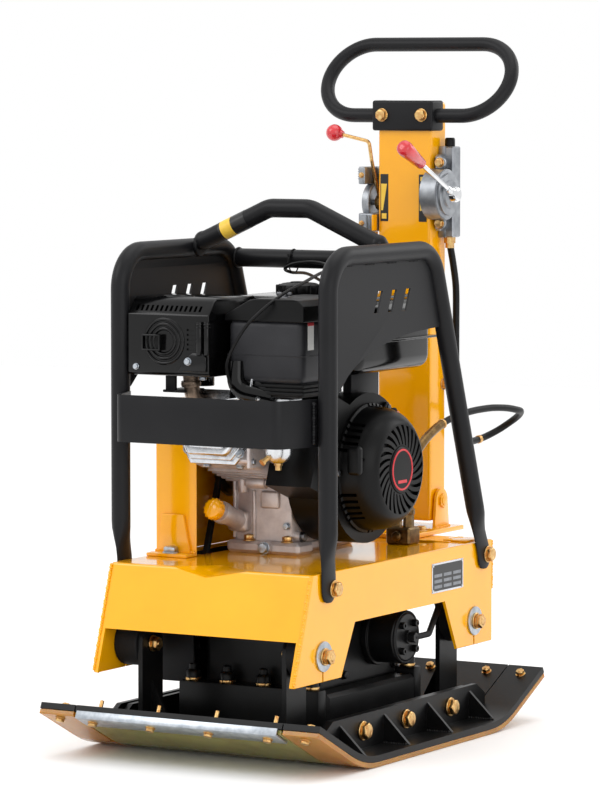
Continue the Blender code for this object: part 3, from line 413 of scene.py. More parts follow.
def bore(piece, *cutters):
    for cutter in cutters:
        modify(piece, "BOOLEAN", operation="DIFFERENCE", solver="EXACT", object=cutter)
        bpy.data.objects.remove(cutter)
    return piece


def group(name, pieces):
    """Several pieces as one object, each still its own body."""
    ops.object.select_all(action="DESELECT")
    for piece in pieces:
        piece.select_set(True)
    bpy.context.view_layer.objects.active = pieces[0]
    if len(pieces) > 1:
        ops.object.join()
    made = bpy.context.active_object
    made.name = name
    made.data.name = name
    return made


def copy_at(template, name, matrix):
    made = bpy.data.objects.new(name, template.data.copy())
    bpy.context.scene.collection.objects.link(made)
    made.data.transform(matrix)
    return made


def mirrored(piece, name):
    """The same piece on the other side of the machine."""
    made = copy_at(piece, name, Matrix.Diagonal((-1, 1, 1, 1)))
    made.data.flip_normals()
    return made


def seat(piece, finish, body="chassis", replaces=(), smooth=35):
    """Give a piece its finish, shade it, and put it on its body."""
    only(piece)
    ops.object.shade_smooth_by_angle(angle=math.radians(smooth))
    piece.data.materials.clear()
    piece.data.materials.append(MATERIAL[finish])
    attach(piece, body)
    if replaces:
        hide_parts(*replaces)
    return piece


def arc(centre, radius, start, end, steps):
    turns = [math.radians(start + (end - start) * i / steps) for i in range(steps + 1)]
    return [(centre[0] + radius * math.cos(t), centre[1] + radius * math.sin(t)) for t in turns]


def filleted(corners, radius, steps=10):
    """An open path with each inner corner rounded."""
    path = [Vector(corners[0])]
    for before, corner, after in zip(corners, corners[1:], corners[2:]):
        before, corner, after = Vector(before), Vector(corner), Vector(after)
        back, on = (before - corner).normalized(), (after - corner).normalized()
        half = back.angle(on) / 2
        reach = radius / math.tan(half)
        middle = corner + (back + on).normalized() * (radius / math.sin(half))
        first, last = corner + back * reach - middle, corner + on * reach - middle
        for i in range(steps + 1):
            path.append(middle + first.normalized().slerp(last.normalized(), i / steps) * radius)
    path.append(Vector(corners[-1]))
    return path


def loft(name, rings, sides=40):
    """A tube of level oval rings, each (centre, half width in X, half width in Y), from the top down."""
    (x, y, z), wide, deep = rings[0]
    ops.object.select_all(action="DESELECT")
    ops.mesh.primitive_circle_add(vertices=sides, radius=1, fill_type="NGON", location=(0, 0, 0))
    ops.object.mode_set(mode="EDIT")
    ops.mesh.select_all(action="SELECT")
    ops.transform.resize(value=(wide, deep, 1), center_override=(0, 0, 0))
    ops.transform.translate(value=(x, y, z))
    for (place, far_wide, far_deep) in rings[1:]:
        step = (place[0] - x, place[1] - y, place[2] - z)
        ops.mesh.extrude_region_move(TRANSFORM_OT_translate={"value": step})
        x, y, z = place
        ops.transform.resize(value=(far_wide / wide, far_deep / deep, 1), center_override=(x, y, z))
        wide, deep = far_wide, far_deep
    ops.mesh.select_all(action="SELECT")
    ops.mesh.normals_make_consistent(inside=False)
    ops.object.mode_set(mode="OBJECT")
    return named(name)


def weld_bead(name, start, end, radius, pitch=0.0042):
    """A run of weld: round drops of slightly varying size laid one over the next."""
    start, end = Vector(start), Vector(end)
    count = max(2, round((end - start).length / pitch))
    drops = []
    for i in range(count + 1):
        swell = radius * (1 + 0.16 * math.sin(2.3 * i) + 0.08 * math.sin(5.1 * i))
        drops.append(sphere(f"{name}_{i}", start.lerp(end, i / count), swell, 14))
    return group(name, drops)


def turned_onto(piece, origin, out, spin=0.0):
    """Move a piece that was made standing on z = 0 so that it stands at origin, pointing along out."""
    turn = Vector(out).to_track_quat("Z", "Y").to_matrix().to_4x4()
    piece.data.transform(Matrix.Translation(origin) @ turn @ Matrix.Rotation(spin, 4, "Z"))
    return piece


BODY_OF = {node: body for body, nodes in frame["record"]["behaviour"]["bodies"].items() for node in nodes}


def refined(node, finish, edge=0.0, steps=2, name=None, smooth=35):
    """The CAD node's own shape with its triangles merged into faces and its edges rounded."""
    made = bpy.data.objects.new(name or node + "_skin", frame["nodes"][node].data.copy())
    bpy.context.scene.collection.objects.link(made)
    only(made)
    ops.object.mode_set(mode="EDIT")
    ops.mesh.select_all(action="SELECT")
    ops.mesh.remove_doubles(threshold=0.00002)
    ops.mesh.dissolve_limited(angle_limit=math.radians(1))
    ops.object.mode_set(mode="OBJECT")
    soften(made, edge, steps)
    seat(made, finish, BODY_OF[node], (node,), smooth)
    return modify(made, "WEIGHTED_NORMAL", keep_sharp=True)


# Hex screws, nuts and washers are modelled once each, standing on z = 0, and copied to where they go.
def make_hex_screw():
    """An M10 screw head on its washer: 16 mm across flats, 7 mm tall, chamfered."""
    washer = bar("washer", (0, 0, 0), (0, 0, 0.002), 0.0105, 24, 0.0005, 1)
    head = bar("head", (0, 0, 0.0018), (0, 0, 0.0085), 0.0092, 6)
    chamfer = turned(
        "chamfer", [(0.0, 0.0092), (0.0068, 0.0092), (0.0085, 0.0070)], (0, 0, 0), (0, 0, 1), 24,
    )
    modify(head, "BOOLEAN", operation="INTERSECT", solver="EXACT", object=chamfer)
    bpy.data.objects.remove(chamfer)
    return group("hex_screw", [washer, soften(head, 0.0003, 1)])


def make_stud():
    """A threaded M10 stud end standing out of its nut and washer."""
    washer = bar("washer", (0, 0, 0), (0, 0, 0.002), 0.0105, 24, 0.0005, 1)
    nut = bar("nut", (0, 0, 0.0018), (0, 0, 0.0102), 0.0092, 6, 0.0008, 1)
    profile = [(0.010, 0.0050)]
    for i in range(5):
        low = 0.010 + i * 0.0020
        profile += [(low + 0.0010, 0.0042), (low + 0.0020, 0.0050)]
    thread = turned("thread", profile + [(0.0212, 0.0038)], (0, 0, 0), (0, 0, 1), 20)
    return group("stud", [washer, nut, thread])


SCREW = make_hex_screw()
STUD = make_stud()
TEMPLATES = [SCREW, STUD]


def fasteners(name, template, spots, body="chassis", finish="yellow_zinc"):
    """Copies of a fastener: each spot is (place, outward direction, size relative to M10)."""
    copies = []
    for i, (place, out, size) in enumerate(spots):
        turn = Vector(out).to_track_quat("Z", "Y").to_matrix().to_4x4()
        spin = Matrix.Rotation(math.radians(17 * i), 4, "Z")
        matrix = Matrix.Translation(place) @ turn @ spin @ Matrix.Scale(size, 4)
        copies.append(copy_at(template, f"{name}_{i}", matrix))
    return seat(group(name, copies), finish, body)


# ---- cords first: the hydraulic hose and the throttle cable, drawn along their routes ----

HOSE_ROUTE = (
    (0.0900, 0.1800, 0.3500),
    (0.0900, 0.1830, 0.3850),
    (0.0920, 0.2050, 0.4300),
    (0.0950, 0.2450, 0.4650),
    (0.1000, 0.3000, 0.4890),
    (0.1080, 0.3600, 0.5010),
    (0.1180, 0.4200, 0.5050),
    (0.1270, 0.4650, 0.5030),
    (0.1317, 0.5000, 0.4975),
    (0.1268, 0.5230, 0.4930),
    (0.1134, 0.5400, 0.4840),
    (0.0950, 0.5460, 0.4720),
    (0.0767, 0.5400, 0.4590),
    (0.0632, 0.5230, 0.4490),
    (0.0583, 0.5000, 0.4443),
    (0.0580, 0.4780, 0.4430),
    (0.0585, 0.4560, 0.4435),
    (0.0600, 0.4330, 0.4500),
    (0.0615, 0.4160, 0.4680),
    (0.0630, 0.4095, 0.4920),
    (0.0640, 0.4090, 0.5300),
    (0.0640, 0.4090, 0.5900),
    (0.0640, 0.4090, 0.6500),
    (0.0640, 0.4090, 0.6900),
    (0.0640, 0.4065, 0.7150),
    (0.0640, 0.3975, 0.7475),
    (0.0640, 0.3880, 0.7750),
    (0.0640, 0.3860, 0.7885),
)

CABLE_ROUTE = (
    (-0.0610, 0.3560, 0.7965),
    (-0.0610, 0.3570, 0.7700),
    (-0.0640, 0.3450, 0.7250),
    (-0.0690, 0.3050, 0.7000),
    (-0.0740, 0.2500, 0.7030),
    (-0.0760, 0.2000, 0.7220),
    (-0.0740, 0.1500, 0.7360),
    (-0.0700, 0.0970, 0.7400),
    (-0.0640, 0.0640, 0.7470),
    (-0.0400, 0.0500, 0.7560),
    (-0.0050, 0.0460, 0.7600),
    (0.0300, 0.0300, 0.7580),
    (0.0560, 0.0000, 0.7530),
    (0.0629, -0.0500, 0.7457),
    (0.0722, -0.1200, 0.7335),
    (0.0749, -0.1700, 0.7235),
    (0.0725, -0.2130, 0.7083),
    (0.0567, -0.2240, 0.6920),
    (0.0383, -0.2280, 0.6732),
    (0.0173, -0.2280, 0.6441),
    (0.0030, -0.2260, 0.6180),
    (0.0000, -0.2220, 0.6000),
    (0.0040, -0.2150, 0.5800),
    (0.0140, -0.2060, 0.5600),
    (0.0260, -0.1980, 0.5420),
    (0.0380, -0.1905, 0.5300),
)


def smooth_route(route, count):
    """Points at even steps of a Catmull-Rom curve through a route."""
    points = [Vector(p) for p in route]
    points = [points[0] * 2 - points[1], *points, points[-1] * 2 - points[-2]]
    path = []
    for i in range(count):
        spot = i * (len(route) - 1) / (count - 1)
        k = min(int(spot), len(route) - 2)
        t = spot - k
        a, b, c, d = points[k : k + 4]
        square, cube = 2 * a - 5 * b + 4 * c - d, 3 * b - a - 3 * c + d
        path.append(0.5 * (2 * b + (c - a) * t + square * t**2 + cube * t**3))
    return path


def make_cord(name, node, route, count, radius):
    path = smooth_route(route, count)
    piece = pipe(name, path, radius)
    only(piece)
    ops.object.shade_smooth_by_angle(angle=math.radians(50))
    piece.data.materials.append(MATERIAL["hose_cover"])
    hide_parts(node)
    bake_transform(piece)
    return path


HOSE_PATH = make_cord(
    "hydraulic_hose_line", "hydraulic_hose", HOSE_ROUTE, 217, 0.0058
)
make_cord("throttle_cable_line", "throttle_cable", CABLE_ROUTE, 221, 0.0026)


# ---- skid ----

STRIP_BOLTS = (-0.157, -0.052, 0.052, 0.157)
FLANGE_BOLTS = (-0.142, -0.003, 0.144)
SKID_SLOPE = math.radians(26)
SKID_TIP = (0.3753, 0.0703)


def floor_z(y):
    """Height of the skid plate's upper face at y: flat, then a 0.2 m arc, then a 26 degree slope."""
    flat, radius, thick = 0.185, 0.200, 0.0183
    beyond = abs(y) - flat
    if beyond <= 0:
        return thick
    reach = (radius - thick) * math.sin(SKID_SLOPE)
    if beyond < reach:
        return radius - math.sqrt((radius - thick) ** 2 - beyond**2)
    return radius - (radius - thick) * math.cos(SKID_SLOPE) + (beyond - reach) * math.tan(SKID_SLOPE)


def slope_out(side):
    """The way a skid end's upper face points: side is -1 at the front."""
    return Vector((0, -side * math.sin(SKID_SLOPE), math.cos(SKID_SLOPE)))


def make_strip(end, side):
    """The flat bar under the centre mat's end, with a lip turned up over the cut edge of the mat."""
    tip = Vector((side * SKID_TIP[0], SKID_TIP[1]))
    along = Vector((side * math.cos(SKID_SLOPE), math.sin(SKID_SLOPE)))
    up = Vector((-along.y * side, along.x * side))
    spots = (
        (-0.034, -0.0003), (-0.034, -0.0040), (0.0040, -0.0040), (0.0040, 0.0085), (0.0010, 0.0085),
        (0.0010, -0.0003),
    )
    outline = [tuple(tip + along * run + up * lift) for run, lift in spots]
    strip = plate(f"pad_strip_{end}_skin", outline, "YZ", -0.1800, 0.1800, 0.0008, 2)
    seat(strip, "clear_zinc", "chassis", (f"pad_strip_{end}",))


def make_skid():
    refined("base_plate", "skid_paint", 0.0012)
    for side in ("left", "right"):
        refined(f"extension_plate_{side}", "skid_paint", 0.0010)
        refined(f"paving_pad_{side}", "polyurethane", 0.0010)
    refined("paving_pad_center", "olive_polyurethane", 0.0025, 3)
    for end, way in (("front", -1), ("rear", 1)):
        make_strip(end, way)
        for side in ("left", "right"):
            refined(f"post_{end}_{side}", "skid_paint", 0.0012)
            refined(f"rubber_buffer_{end}_{side}", "natural_rubber", 0.003, 3)

    pins, studs, heads = [], [], []
    for side in (-1, 1):
        up = slope_out(side)
        for x in (*STRIP_BOLTS, -0.220, 0.220):
            foot = Vector((x, side * 0.345, floor_z(0.345) - 0.0005))
            if side < 0 and abs(x) < 0.2:
                pins.append(bar(f"pin_{x}", foot, foot + up * 0.018, 0.0032, 16, 0.0008, 1))
                pins.append(bar(f"pin_nut_{x}", foot, foot + up * 0.005, 0.0062, 6, 0.0004, 1))
            else:
                studs.append((foot, up, 0.78))
        for x in STRIP_BOLTS:
            heads.append(((x, side * 0.3645, 0.0610), -up, 0.78))
        for x in (-0.220, 0.220):
            heads.append(((x, side * 0.3603, 0.0628), -up, 0.78))
    seat(group("pad_pins", pins), "yellow_zinc")
    fasteners("pad_studs", STUD, studs)
    fasteners("pad_strip_screws", SCREW, heads)
    flange = [((s * 0.1960, y, 0.046), (s, 0, 0), 1.45) for s in (-1, 1) for y in FLANGE_BOLTS]
    fasteners("extension_screws", SCREW, flange)
    posts = [((s * 0.126, y, 0.172), (-s, 0, 0), 1.25) for s in (-1, 1) for y in (-0.240, 0.254)]
    fasteners("post_nuts", STUD, posts)
    beads = []
    for s in (-1, 1):
        for y in (-0.212, -0.072, 0.070, 0.212):
            foot = floor_z(y)
            beads.append(
                weld_bead(
                    f"rib_bead_{s}_{y}", (s * 0.197, y - 0.004, foot), (s * 0.240, y - 0.004, foot), 0.0024,
                )
            )
        for y in (-0.240, 0.254):
            foot = (floor_z(y - 0.02) + floor_z(y + 0.02)) / 2
            beads.append(
                weld_bead(
                    f"post_bead_{s}_{y}", (s * 0.1345, y - 0.024, foot), (s * 0.1345, y + 0.024, foot),
                    0.003,
                )
            )
    seat(group("skid_weld_beads", beads), "skid_paint")


make_skid()


# ---- deck ----

MOUNT_SPOTS = [(s, y) for s in (-1, 1) for y in (-0.240, 0.254)]


def make_deck():
    refined("deck", "yellow_enamel", 0.0015, 3)
    washers, bolts = [], []
    for s, y in MOUNT_SPOTS:
        x = s * 0.1811
        washers.append(
            bar(f"washer_{s}_{y}", (x, y, 0.172), (x + s * 0.0035, y, 0.172), 0.0235, 48, 0.0008)
        )
        bolts.append(((x + s * 0.0035, y, 0.172), (s, 0, 0), 1.30))
    seat(group("mount_washers", washers), "clear_zinc")
    fasteners("mount_bolts", STUD, bolts)

    border = block("name_plate", (0.1811, 0.109, 0.231), (0.1819, 0.215, 0.279), 0.0003, 1)
    seat(border, "bright_aluminium")
    field = block("name_plate_field", (0.1818, 0.112, 0.234), (0.1821, 0.212, 0.276), 0.0001, 1)
    seat(field, "black_vinyl")
    blanks = []
    for row in range(3):
        for column in range(3):
            y, z = 0.116 + column * 0.032, 0.238 + row * 0.009
            blanks.append(
                block(f"blank_{row}_{column}", (0.1820, y, z), (0.1823, y + 0.026, z + 0.005), 0.00005, 1)
            )
    seat(group("name_plate_blanks", blanks), "plate_face")
    rivets = [
        turned(
            f"rivet_{y}_{z}", [(0, 0.0028), (0.0006, 0.0026), (0.0011, 0.0012)], (0.1820, y, z), (1, 0, 0),
            16,
        )
        for y in (0.1125, 0.2115)
        for z in (0.2345, 0.2755)
    ]
    seat(group("name_plate_rivets", rivets), "bright_aluminium")

    beads = []
    for s in (-1, 1):
        top, foot = (s * 0.1795, -0.2755, 0.2960), (s * 0.1795, -0.3265, 0.1380)
        beads.append(weld_bead(f"corner_bead_{s}", top, foot, 0.0026))
        beads.append(
            weld_bead(f"rear_bead_{s}", (s * 0.1795, 0.3190, 0.296), (s * 0.1795, 0.3190, 0.220), 0.0024)
        )
    seat(group("deck_weld_beads", beads), "yellow_enamel")
    lip = plate(
        "hatch_rim", [(0.048, 0.232), (0.146, 0.232), (0.146, 0.240), (0.048, 0.240)], "XY", 0.2998, 0.3016,
        0.0006, 1,
    )
    seat(lip, "yellow_enamel")


make_deck()


# ---- exciter and belt drive ----


def make_exciter():
    refined("exciter_housing", "skid_paint", 0.004, 3)
    for node in ("exciter_shaft_front", "exciter_shaft_rear", "exciter_pulley", "clutch_drum"):
        refined(node, "machined_steel", 0.0006, 1)
    refined("shift_cylinder", "skid_paint", 0.002, 3)
    refined("v_belt", "natural_rubber", 0.0005, 1)
    refined("belt_guard_upper", "yellow_enamel", 0.0020, 3)
    refined("belt_guard_lower", "black_powder_coat", 0.0015)

    spots = [(x, y) for y in (-0.1480, 0.1625) for x in (-0.108, -0.045, 0.021, 0.108)]
    pads = [block("exciter_rail_front", (-0.128, -0.1610, 0.0190), (0.128, -0.1355, 0.1045), 0.004, 2)]
    pads.append(block("exciter_rail_rear", (-0.128, 0.1505, 0.0190), (0.128, 0.1740, 0.1045), 0.004, 2))
    seat(group("exciter_rails", pads), "skid_paint")
    washers = [
        bar(f"foot_washer_{x}_{y}", (x, y, 0.1043), (x, y, 0.1090), 0.0125, 40, 0.0006) for x, y in spots
    ]
    seat(group("exciter_foot_washers", washers), "yellow_zinc")
    profile = [
        (0, 0.0115), (0.0090, 0.0115), (0.0120, 0.0095), (0.0140, 0.0068), (0.0210, 0.0066),
        (0.0230, 0.0045),
    ]
    caps = [turned(f"foot_nut_{x}_{y}", profile, (x, y, 0.1088), (0, 0, 1), 28) for x, y in spots]
    seat(group("exciter_foot_nuts", caps), "skid_paint")
    front = [((x, -0.1300, z), (0, -1, 0), 0.60) for x in (-0.082, 0.0, 0.082) for z in (0.226,)]
    fasteners("exciter_front_screws", SCREW, front, finish="skid_paint")
    right = [((0.0980, y, z), (1, 0, 0), 0.75) for y in (-0.112, -0.030, 0.132) for z in (0.112, 0.228)]
    fasteners("exciter_right_screws", SCREW, right, finish="skid_paint")
    face = 0.1583
    caps = []
    for i in range(4):
        angle = math.radians(45 + 90 * i)
        y, z = 0.070 + 0.029 * math.cos(angle), 0.165 + 0.029 * math.sin(angle)
        head = turned(
            f"cap_{i}", [(0, 0.0058), (0.0075, 0.0058), (0.0083, 0.0050)], (face - 0.0005, y, z), (1, 0, 0),
            24,
        )
        socket = bar(f"socket_{i}", (face + 0.004, y, z), (face + 0.010, y, z), 0.0030, 6)
        caps.append(bore(head, socket))
    seat(group("shift_cap_screws", caps), "skid_paint")
    union = turned(
        "shift_union", [(0, 0.011), (0.004, 0.011), (0.0045, 0.0085), (0.016, 0.0085)],
        (face, 0.070, 0.165), (1, 0, 0), 6,
    )
    seat(union, "skid_paint")
    pivot = ring("shift_groove", (0.1560, 0.070, 0.165), (1, 0, 0), 0.0405, 0.0016, 64)
    seat(pivot, "natural_rubber")
    flow = filleted(
        [(0.170, 0.070, 0.165), (0.170, 0.120, 0.165), (0.150, 0.190, 0.200), (0.105, 0.200, 0.290)], 0.014,
        10,
    )
    seat(pipe("shift_pipe", flow, 0.0050), "natural_rubber")

    beads = [
        weld_bead("guard_bead_front", (-0.1420, -0.1475, 0.3065), (-0.1420, -0.1475, 0.352), 0.0026),
        weld_bead("guard_bead_foot", (-0.176, -0.1485, 0.3068), (-0.1060, -0.1485, 0.3068), 0.0024),
    ]
    seat(group("guard_weld_beads", beads), "yellow_enamel")
    foot = plate(
        "guard_foot", [(-0.178, -0.176), (-0.104, -0.176), (-0.104, -0.146), (-0.178, -0.146)], "XY",
        0.3003, 0.3055, 0.0012,
    )
    seat(foot, "yellow_enamel")
    web = plate(
        "guard_web", [(-0.172, 0.3050), (-0.112, 0.3050), (-0.124, 0.366), (-0.164, 0.366)], "XZ", -0.1525,
        -0.1458, 0.0016,
    )
    seat(web, "yellow_enamel")
    fasteners("guard_bolt", SCREW, [((-0.140, -0.163, 0.3055), (0, 0, 1), 1.25)], finish="clear_zinc")


make_exciter()


# ---- engine ----

CYLINDER_FRAME = Matrix(
    (
        (1, 0, 0, -0.045),
        (0, math.sin(math.radians(20)), -math.cos(math.radians(20)), 0.045),
        (0, math.cos(math.radians(20)), math.sin(math.radians(20)), 0.435),
        (0, 0, 0, 1),
    )
)


def on_cylinder(piece):
    """Move a piece made with Z along the bore into the leaning cylinder's frame."""
    piece.data.transform(CYLINDER_FRAME)
    return piece


COVER_OUTLINE = (
    (-0.071, -0.026),
    (-0.046, -0.060),
    (0.034, -0.060),
    (0.051, -0.032),
    (0.051, 0.044),
    (0.038, 0.058),
    (-0.058, 0.058),
    (-0.071, 0.044),
)


def cover_layer(name, grow, low, high, edge=0.0, steps=2):
    outline = []
    for u, v in COVER_OUTLINE:
        centre_u, centre_v = -0.010, 0.0
        reach = math.hypot(u - centre_u, v - centre_v)
        outline.append(
            (centre_u + (u - centre_u) * (1 + grow / reach), centre_v + (v - centre_v) * (1 + grow / reach))
        )
    return plate(name, outline, "XY", low, high, edge, steps)


def make_engine_front():
    refined("engine_block", "cast_aluminium", 0.0030, 3)
    refined("cylinder_head", "cast_aluminium", 0.0012)
    pieces = [
        cover_layer("cover_rim", 0.0015, 0.2162, 0.2205, 0.0012),
        cover_layer("cover_step", -0.0045, 0.2200, 0.2300, 0.0020, 3),
        cover_layer("cover_dome", -0.0085, 0.2290, 0.2470, 0.0060, 4),
        cover_layer("cover_crown", -0.0200, 0.2460, 0.2500, 0.0015, 2),
    ]
    cover = on_cylinder(group("valve_cover_skin", pieces))
    seat(cover, "bright_aluminium", "chassis", ("valve_cover",))
    seat(on_cylinder(cover_layer("cover_gasket", 0.0005, 0.2150, 0.2166)), "soot_black")
    bolts = []
    out = Vector((0, -math.cos(math.radians(20)), math.sin(math.radians(20))))
    for u, v in ((-0.055, -0.040), (0.041, -0.043), (0.042, 0.045), (-0.062, 0.045)):
        spot = CYLINDER_FRAME @ Vector((u, v, 0.2202))
        bolts.append((spot, out, 0.72))
    fasteners("cover_screws", SCREW, bolts, finish="clear_zinc")
    under = [
        (CYLINDER_FRAME @ Vector((u, -0.056, 0.196)), (CYLINDER_FRAME.to_3x3() @ Vector((0, -1, 0))), 0.70)
        for u in (-0.03, 0.03)
    ]
    fasteners("head_screws", SCREW, under, finish="clear_zinc")

    # Bosses and ribs on the crankcase's front, each a little proud of the casting.
    bosses = [
        bar("lifter_boss", (-0.056, -0.056, 0.405), (-0.056, -0.056, 0.452), 0.0095, 28, 0.002, 2),
        bar("lifter_boss_low", (-0.070, -0.058, 0.396), (-0.070, -0.058, 0.430), 0.0080, 28, 0.002, 2),
        bar("governor_boss", (-0.052, -0.072, 0.415), (-0.018, -0.072, 0.415), 0.0100, 28, 0.0015, 2),
        bar("governor_hub", (-0.020, -0.072, 0.415), (-0.010, -0.072, 0.415), 0.0075, 6, 0.0008, 1),
        block("front_pad", (-0.040, -0.0565, 0.372), (-0.006, -0.046, 0.400), 0.004, 3),
        block("front_rib", (-0.056, -0.0545, 0.322), (-0.050, -0.046, 0.400), 0.0025, 3),
        block("side_rib", (-0.092, -0.0545, 0.322), (-0.086, -0.046, 0.440), 0.0025, 3),
        bar("drain_boss", (-0.026, -0.052, 0.3105), (-0.026, -0.0660, 0.3105), 0.0100, 28, 0.0015, 2),
        bar("drain_boss_side", (0.010, -0.036, 0.3280), (0.0250, -0.036, 0.3280), 0.0085, 28, 0.0015, 2),
        block("intake_flange", (0.0130, -0.186, 0.448), (0.0185, -0.140, 0.500), 0.002, 2),
        block("neck_foot", (-0.096, -0.066, 0.334), (-0.060, -0.044, 0.366), 0.006, 3),
        turned(
            "neck_collar", [(0, 0.0180), (0.010, 0.0180), (0.0125, 0.0165)], (-0.0806, -0.0995, 0.3656),
            (-0.0726, -0.9437, 0.3267), 40,
        ),
    ]
    seat(group("crankcase_bosses", bosses), "cast_aluminium")
    studs = [
        ((-0.060, -0.0560, 0.3195), (0, 0, 1), 0.95),
        ((0.0080, -0.0520, 0.3195), (0, 0, 1), 0.95),
        ((-0.030, -0.0740, 0.3105), (0, -1, 0), 0.4),
    ]
    fasteners("engine_foot_studs", STUD, studs[:2])
    fasteners("drain_screw", SCREW, [((-0.026, -0.0660, 0.3105), (0, -1, 0), 1.0)], finish="clear_zinc")
    fasteners(
        "drain_screw_side", SCREW, [((0.0250, -0.036, 0.3280), (1, 0, 0), 0.85)], finish="machined_steel",
    )
    case = [
        ((x, -0.0500, z), (0, -1, 0), 0.62) for x, z in ((-0.086, 0.462), (0.006, 0.462), (0.006, 0.345))
    ]
    fasteners("case_screws", SCREW, case, finish="clear_zinc")
    flange = [((0.0185, y, z), (1, 0, 0), 0.50) for y, z in ((-0.176, 0.458), (-0.150, 0.490))]
    fasteners("intake_screws", SCREW, flange, finish="clear_zinc")

    cap = turned(
        "oil_filler_cap_skin",
        [(0.0003, 0.0150), (0.0020, 0.0165), (0.0120, 0.0165), (0.0150, 0.0150), (0.0168, 0.0110)],
        (-0.082, -0.118, 0.372), (-0.0726, -0.9437, 0.3267), 48, 0.0008,
    )
    lobes = []
    for i in range(14):
        turn = math.tau * i / 14
        lobes.append(
            bar(
                f"lobe_{i}", (0.0160 * math.cos(turn), 0.0160 * math.sin(turn), 0.003),
                (0.0160 * math.cos(turn), 0.0160 * math.sin(turn), 0.0125), 0.0016, 10,
            )
        )
    grip = turned_onto(group("cap_lobes", lobes), (-0.082, -0.118, 0.372), (-0.0726, -0.9437, 0.3267))
    seat(group("oil_filler_cap_skin", [cap, grip]), "yellow_enamel", "oil_filler_cap", ("oil_filler_cap",))


def make_engine_inside():
    refined("crankshaft", "machined_steel", 0.0006, 1)
    refined("flywheel_fan", "cast_aluminium", 0.0004, 1)


def recoil_slot(name, angle):
    """A curved slot cutter running out from the badge, sunk into the cover's face."""
    edges = []
    for side in (-1, 1):
        line = []
        for i in range(7):
            r = 0.040 + 0.031 * i / 6
            half = 0.0016 + 0.0026 * i / 6
            turn = math.radians(angle + 0.6 * (r - 0.040) * 1000) + side * half / r
            line.append((0.045 + r * math.cos(turn), 0.435 + r * math.sin(turn)))
        edges.append(line)
    return plate(name, edges[0] + edges[1][::-1], "YZ", 0.1525, 0.170)


def make_recoil():
    refined("blower_housing", "moulded_nylon", 0.0040, 4)
    centre = (0.1003, 0.045, 0.435)
    profile = [(0.0, 0.1035), (0.004, 0.1035), (0.0055, 0.0995), (0.030, 0.0965), (0.044, 0.0905)]
    profile += [(0.053, 0.0830), (0.0575, 0.0775), (0.0600, 0.0720), (0.0600, 0.0380), (0.0570, 0.0370)]
    cover = turned("recoil_cover_skin", profile, centre, (1, 0, 0), 96, 0.0)
    bore(cover, bar("rope_guide", (0.140, -0.090, 0.457), (0.140, 0.030, 0.457), 0.0030, 20))
    slots = group("face_slots", [recoil_slot(f"slot_{i}", i * 360 / 26) for i in range(26)])
    bore(cover, slots)
    vents = []
    for middle in (35, 80, 145, 215, 280, 325):
        for i in range(5):
            turn = math.radians(middle + (i - 2) * 7)
            inner, outer = 0.086, 0.112
            y, z = math.cos(turn), math.sin(turn)
            low = (0.1155, 0.045 + inner * y, 0.435 + inner * z)
            vent = block(f"vent_{middle}_{i}", (-0.0028, -0.0145, 0.0), (0.0028, 0.0145, outer - inner))
            place = Matrix.Translation(low) @ Vector((0, y, z)).to_track_quat("Z", "X").to_matrix().to_4x4()
            vent.data.transform(place)
            vents.append(vent)
    bore(cover, group("side_vents", vents))
    seat(cover, "moulded_nylon", "chassis", ("recoil_cover",))
    badge = turned(
        "recoil_badge", [(0, 0.0370), (0.0040, 0.0370), (0.0052, 0.0355), (0.0056, 0.0300)],
        (0.1572, 0.045, 0.435), (1, 0, 0), 72,
    )
    seat(badge, "moulded_nylon")
    rim = ring("badge_ring", (0.1622, 0.045, 0.435), (1, 0, 0), 0.0315, 0.0018, 72)
    seat(rim, "red_ring")
    seat(block("badge_band", (0.1622, 0.031, 0.4135), (0.1632, 0.059, 0.4185), 0.0003, 1), "red_ring")
    lugs = []
    for angle in (60, 180, 300):
        y, z = 0.045 + 0.108 * math.cos(math.radians(angle)), 0.435 + 0.108 * math.sin(math.radians(angle))
        lugs.append(bar(f"lug_{angle}", (0.1003, y, z), (0.1055, y, z), 0.0085, 28, 0.001))
    seat(group("recoil_lugs", lugs), "moulded_nylon")
    spots = []
    for angle in (60, 180, 300):
        y, z = 0.045 + 0.108 * math.cos(math.radians(angle)), 0.435 + 0.108 * math.sin(math.radians(angle))
        spots.append(((0.1052, y, z), (1, 0, 0), 0.55))
    fasteners("recoil_screws", SCREW, spots, finish="machined_steel")

    grip = block("grip_body", (0.128, -0.0755, 0.434), (0.152, -0.0600, 0.480), 0.0065, 5)
    rope = bar("grip_rope", (0.140, -0.064, 0.457), (0.140, 0.110, 0.457), 0.0022, 16)
    seat(group("starter_grip_skin", [grip, rope]), "moulded_nylon", "starter_grip", ("starter_grip",))
    switch = block("switch_body", (0.1006, 0.122, 0.506), (0.1075, 0.136, 0.520), 0.002, 3)
    rocker = block("switch_key", (0.1065, 0.1265, 0.5075), (0.1100, 0.1315, 0.5185), 0.0012, 2)
    seat(group("stop_switch_skin", [switch, rocker]), "red_phenolic", "stop_switch", ("stop_switch",))
    seat(
        turned(
            "switch_bezel", [(0, 0.0125), (0.0018, 0.0125), (0.0028, 0.0112)], (0.0996, 0.129, 0.513),
            (1, 0, 0), 40,
        ),
        "soot_black",
    )


make_engine_front()
make_engine_inside()
make_recoil()


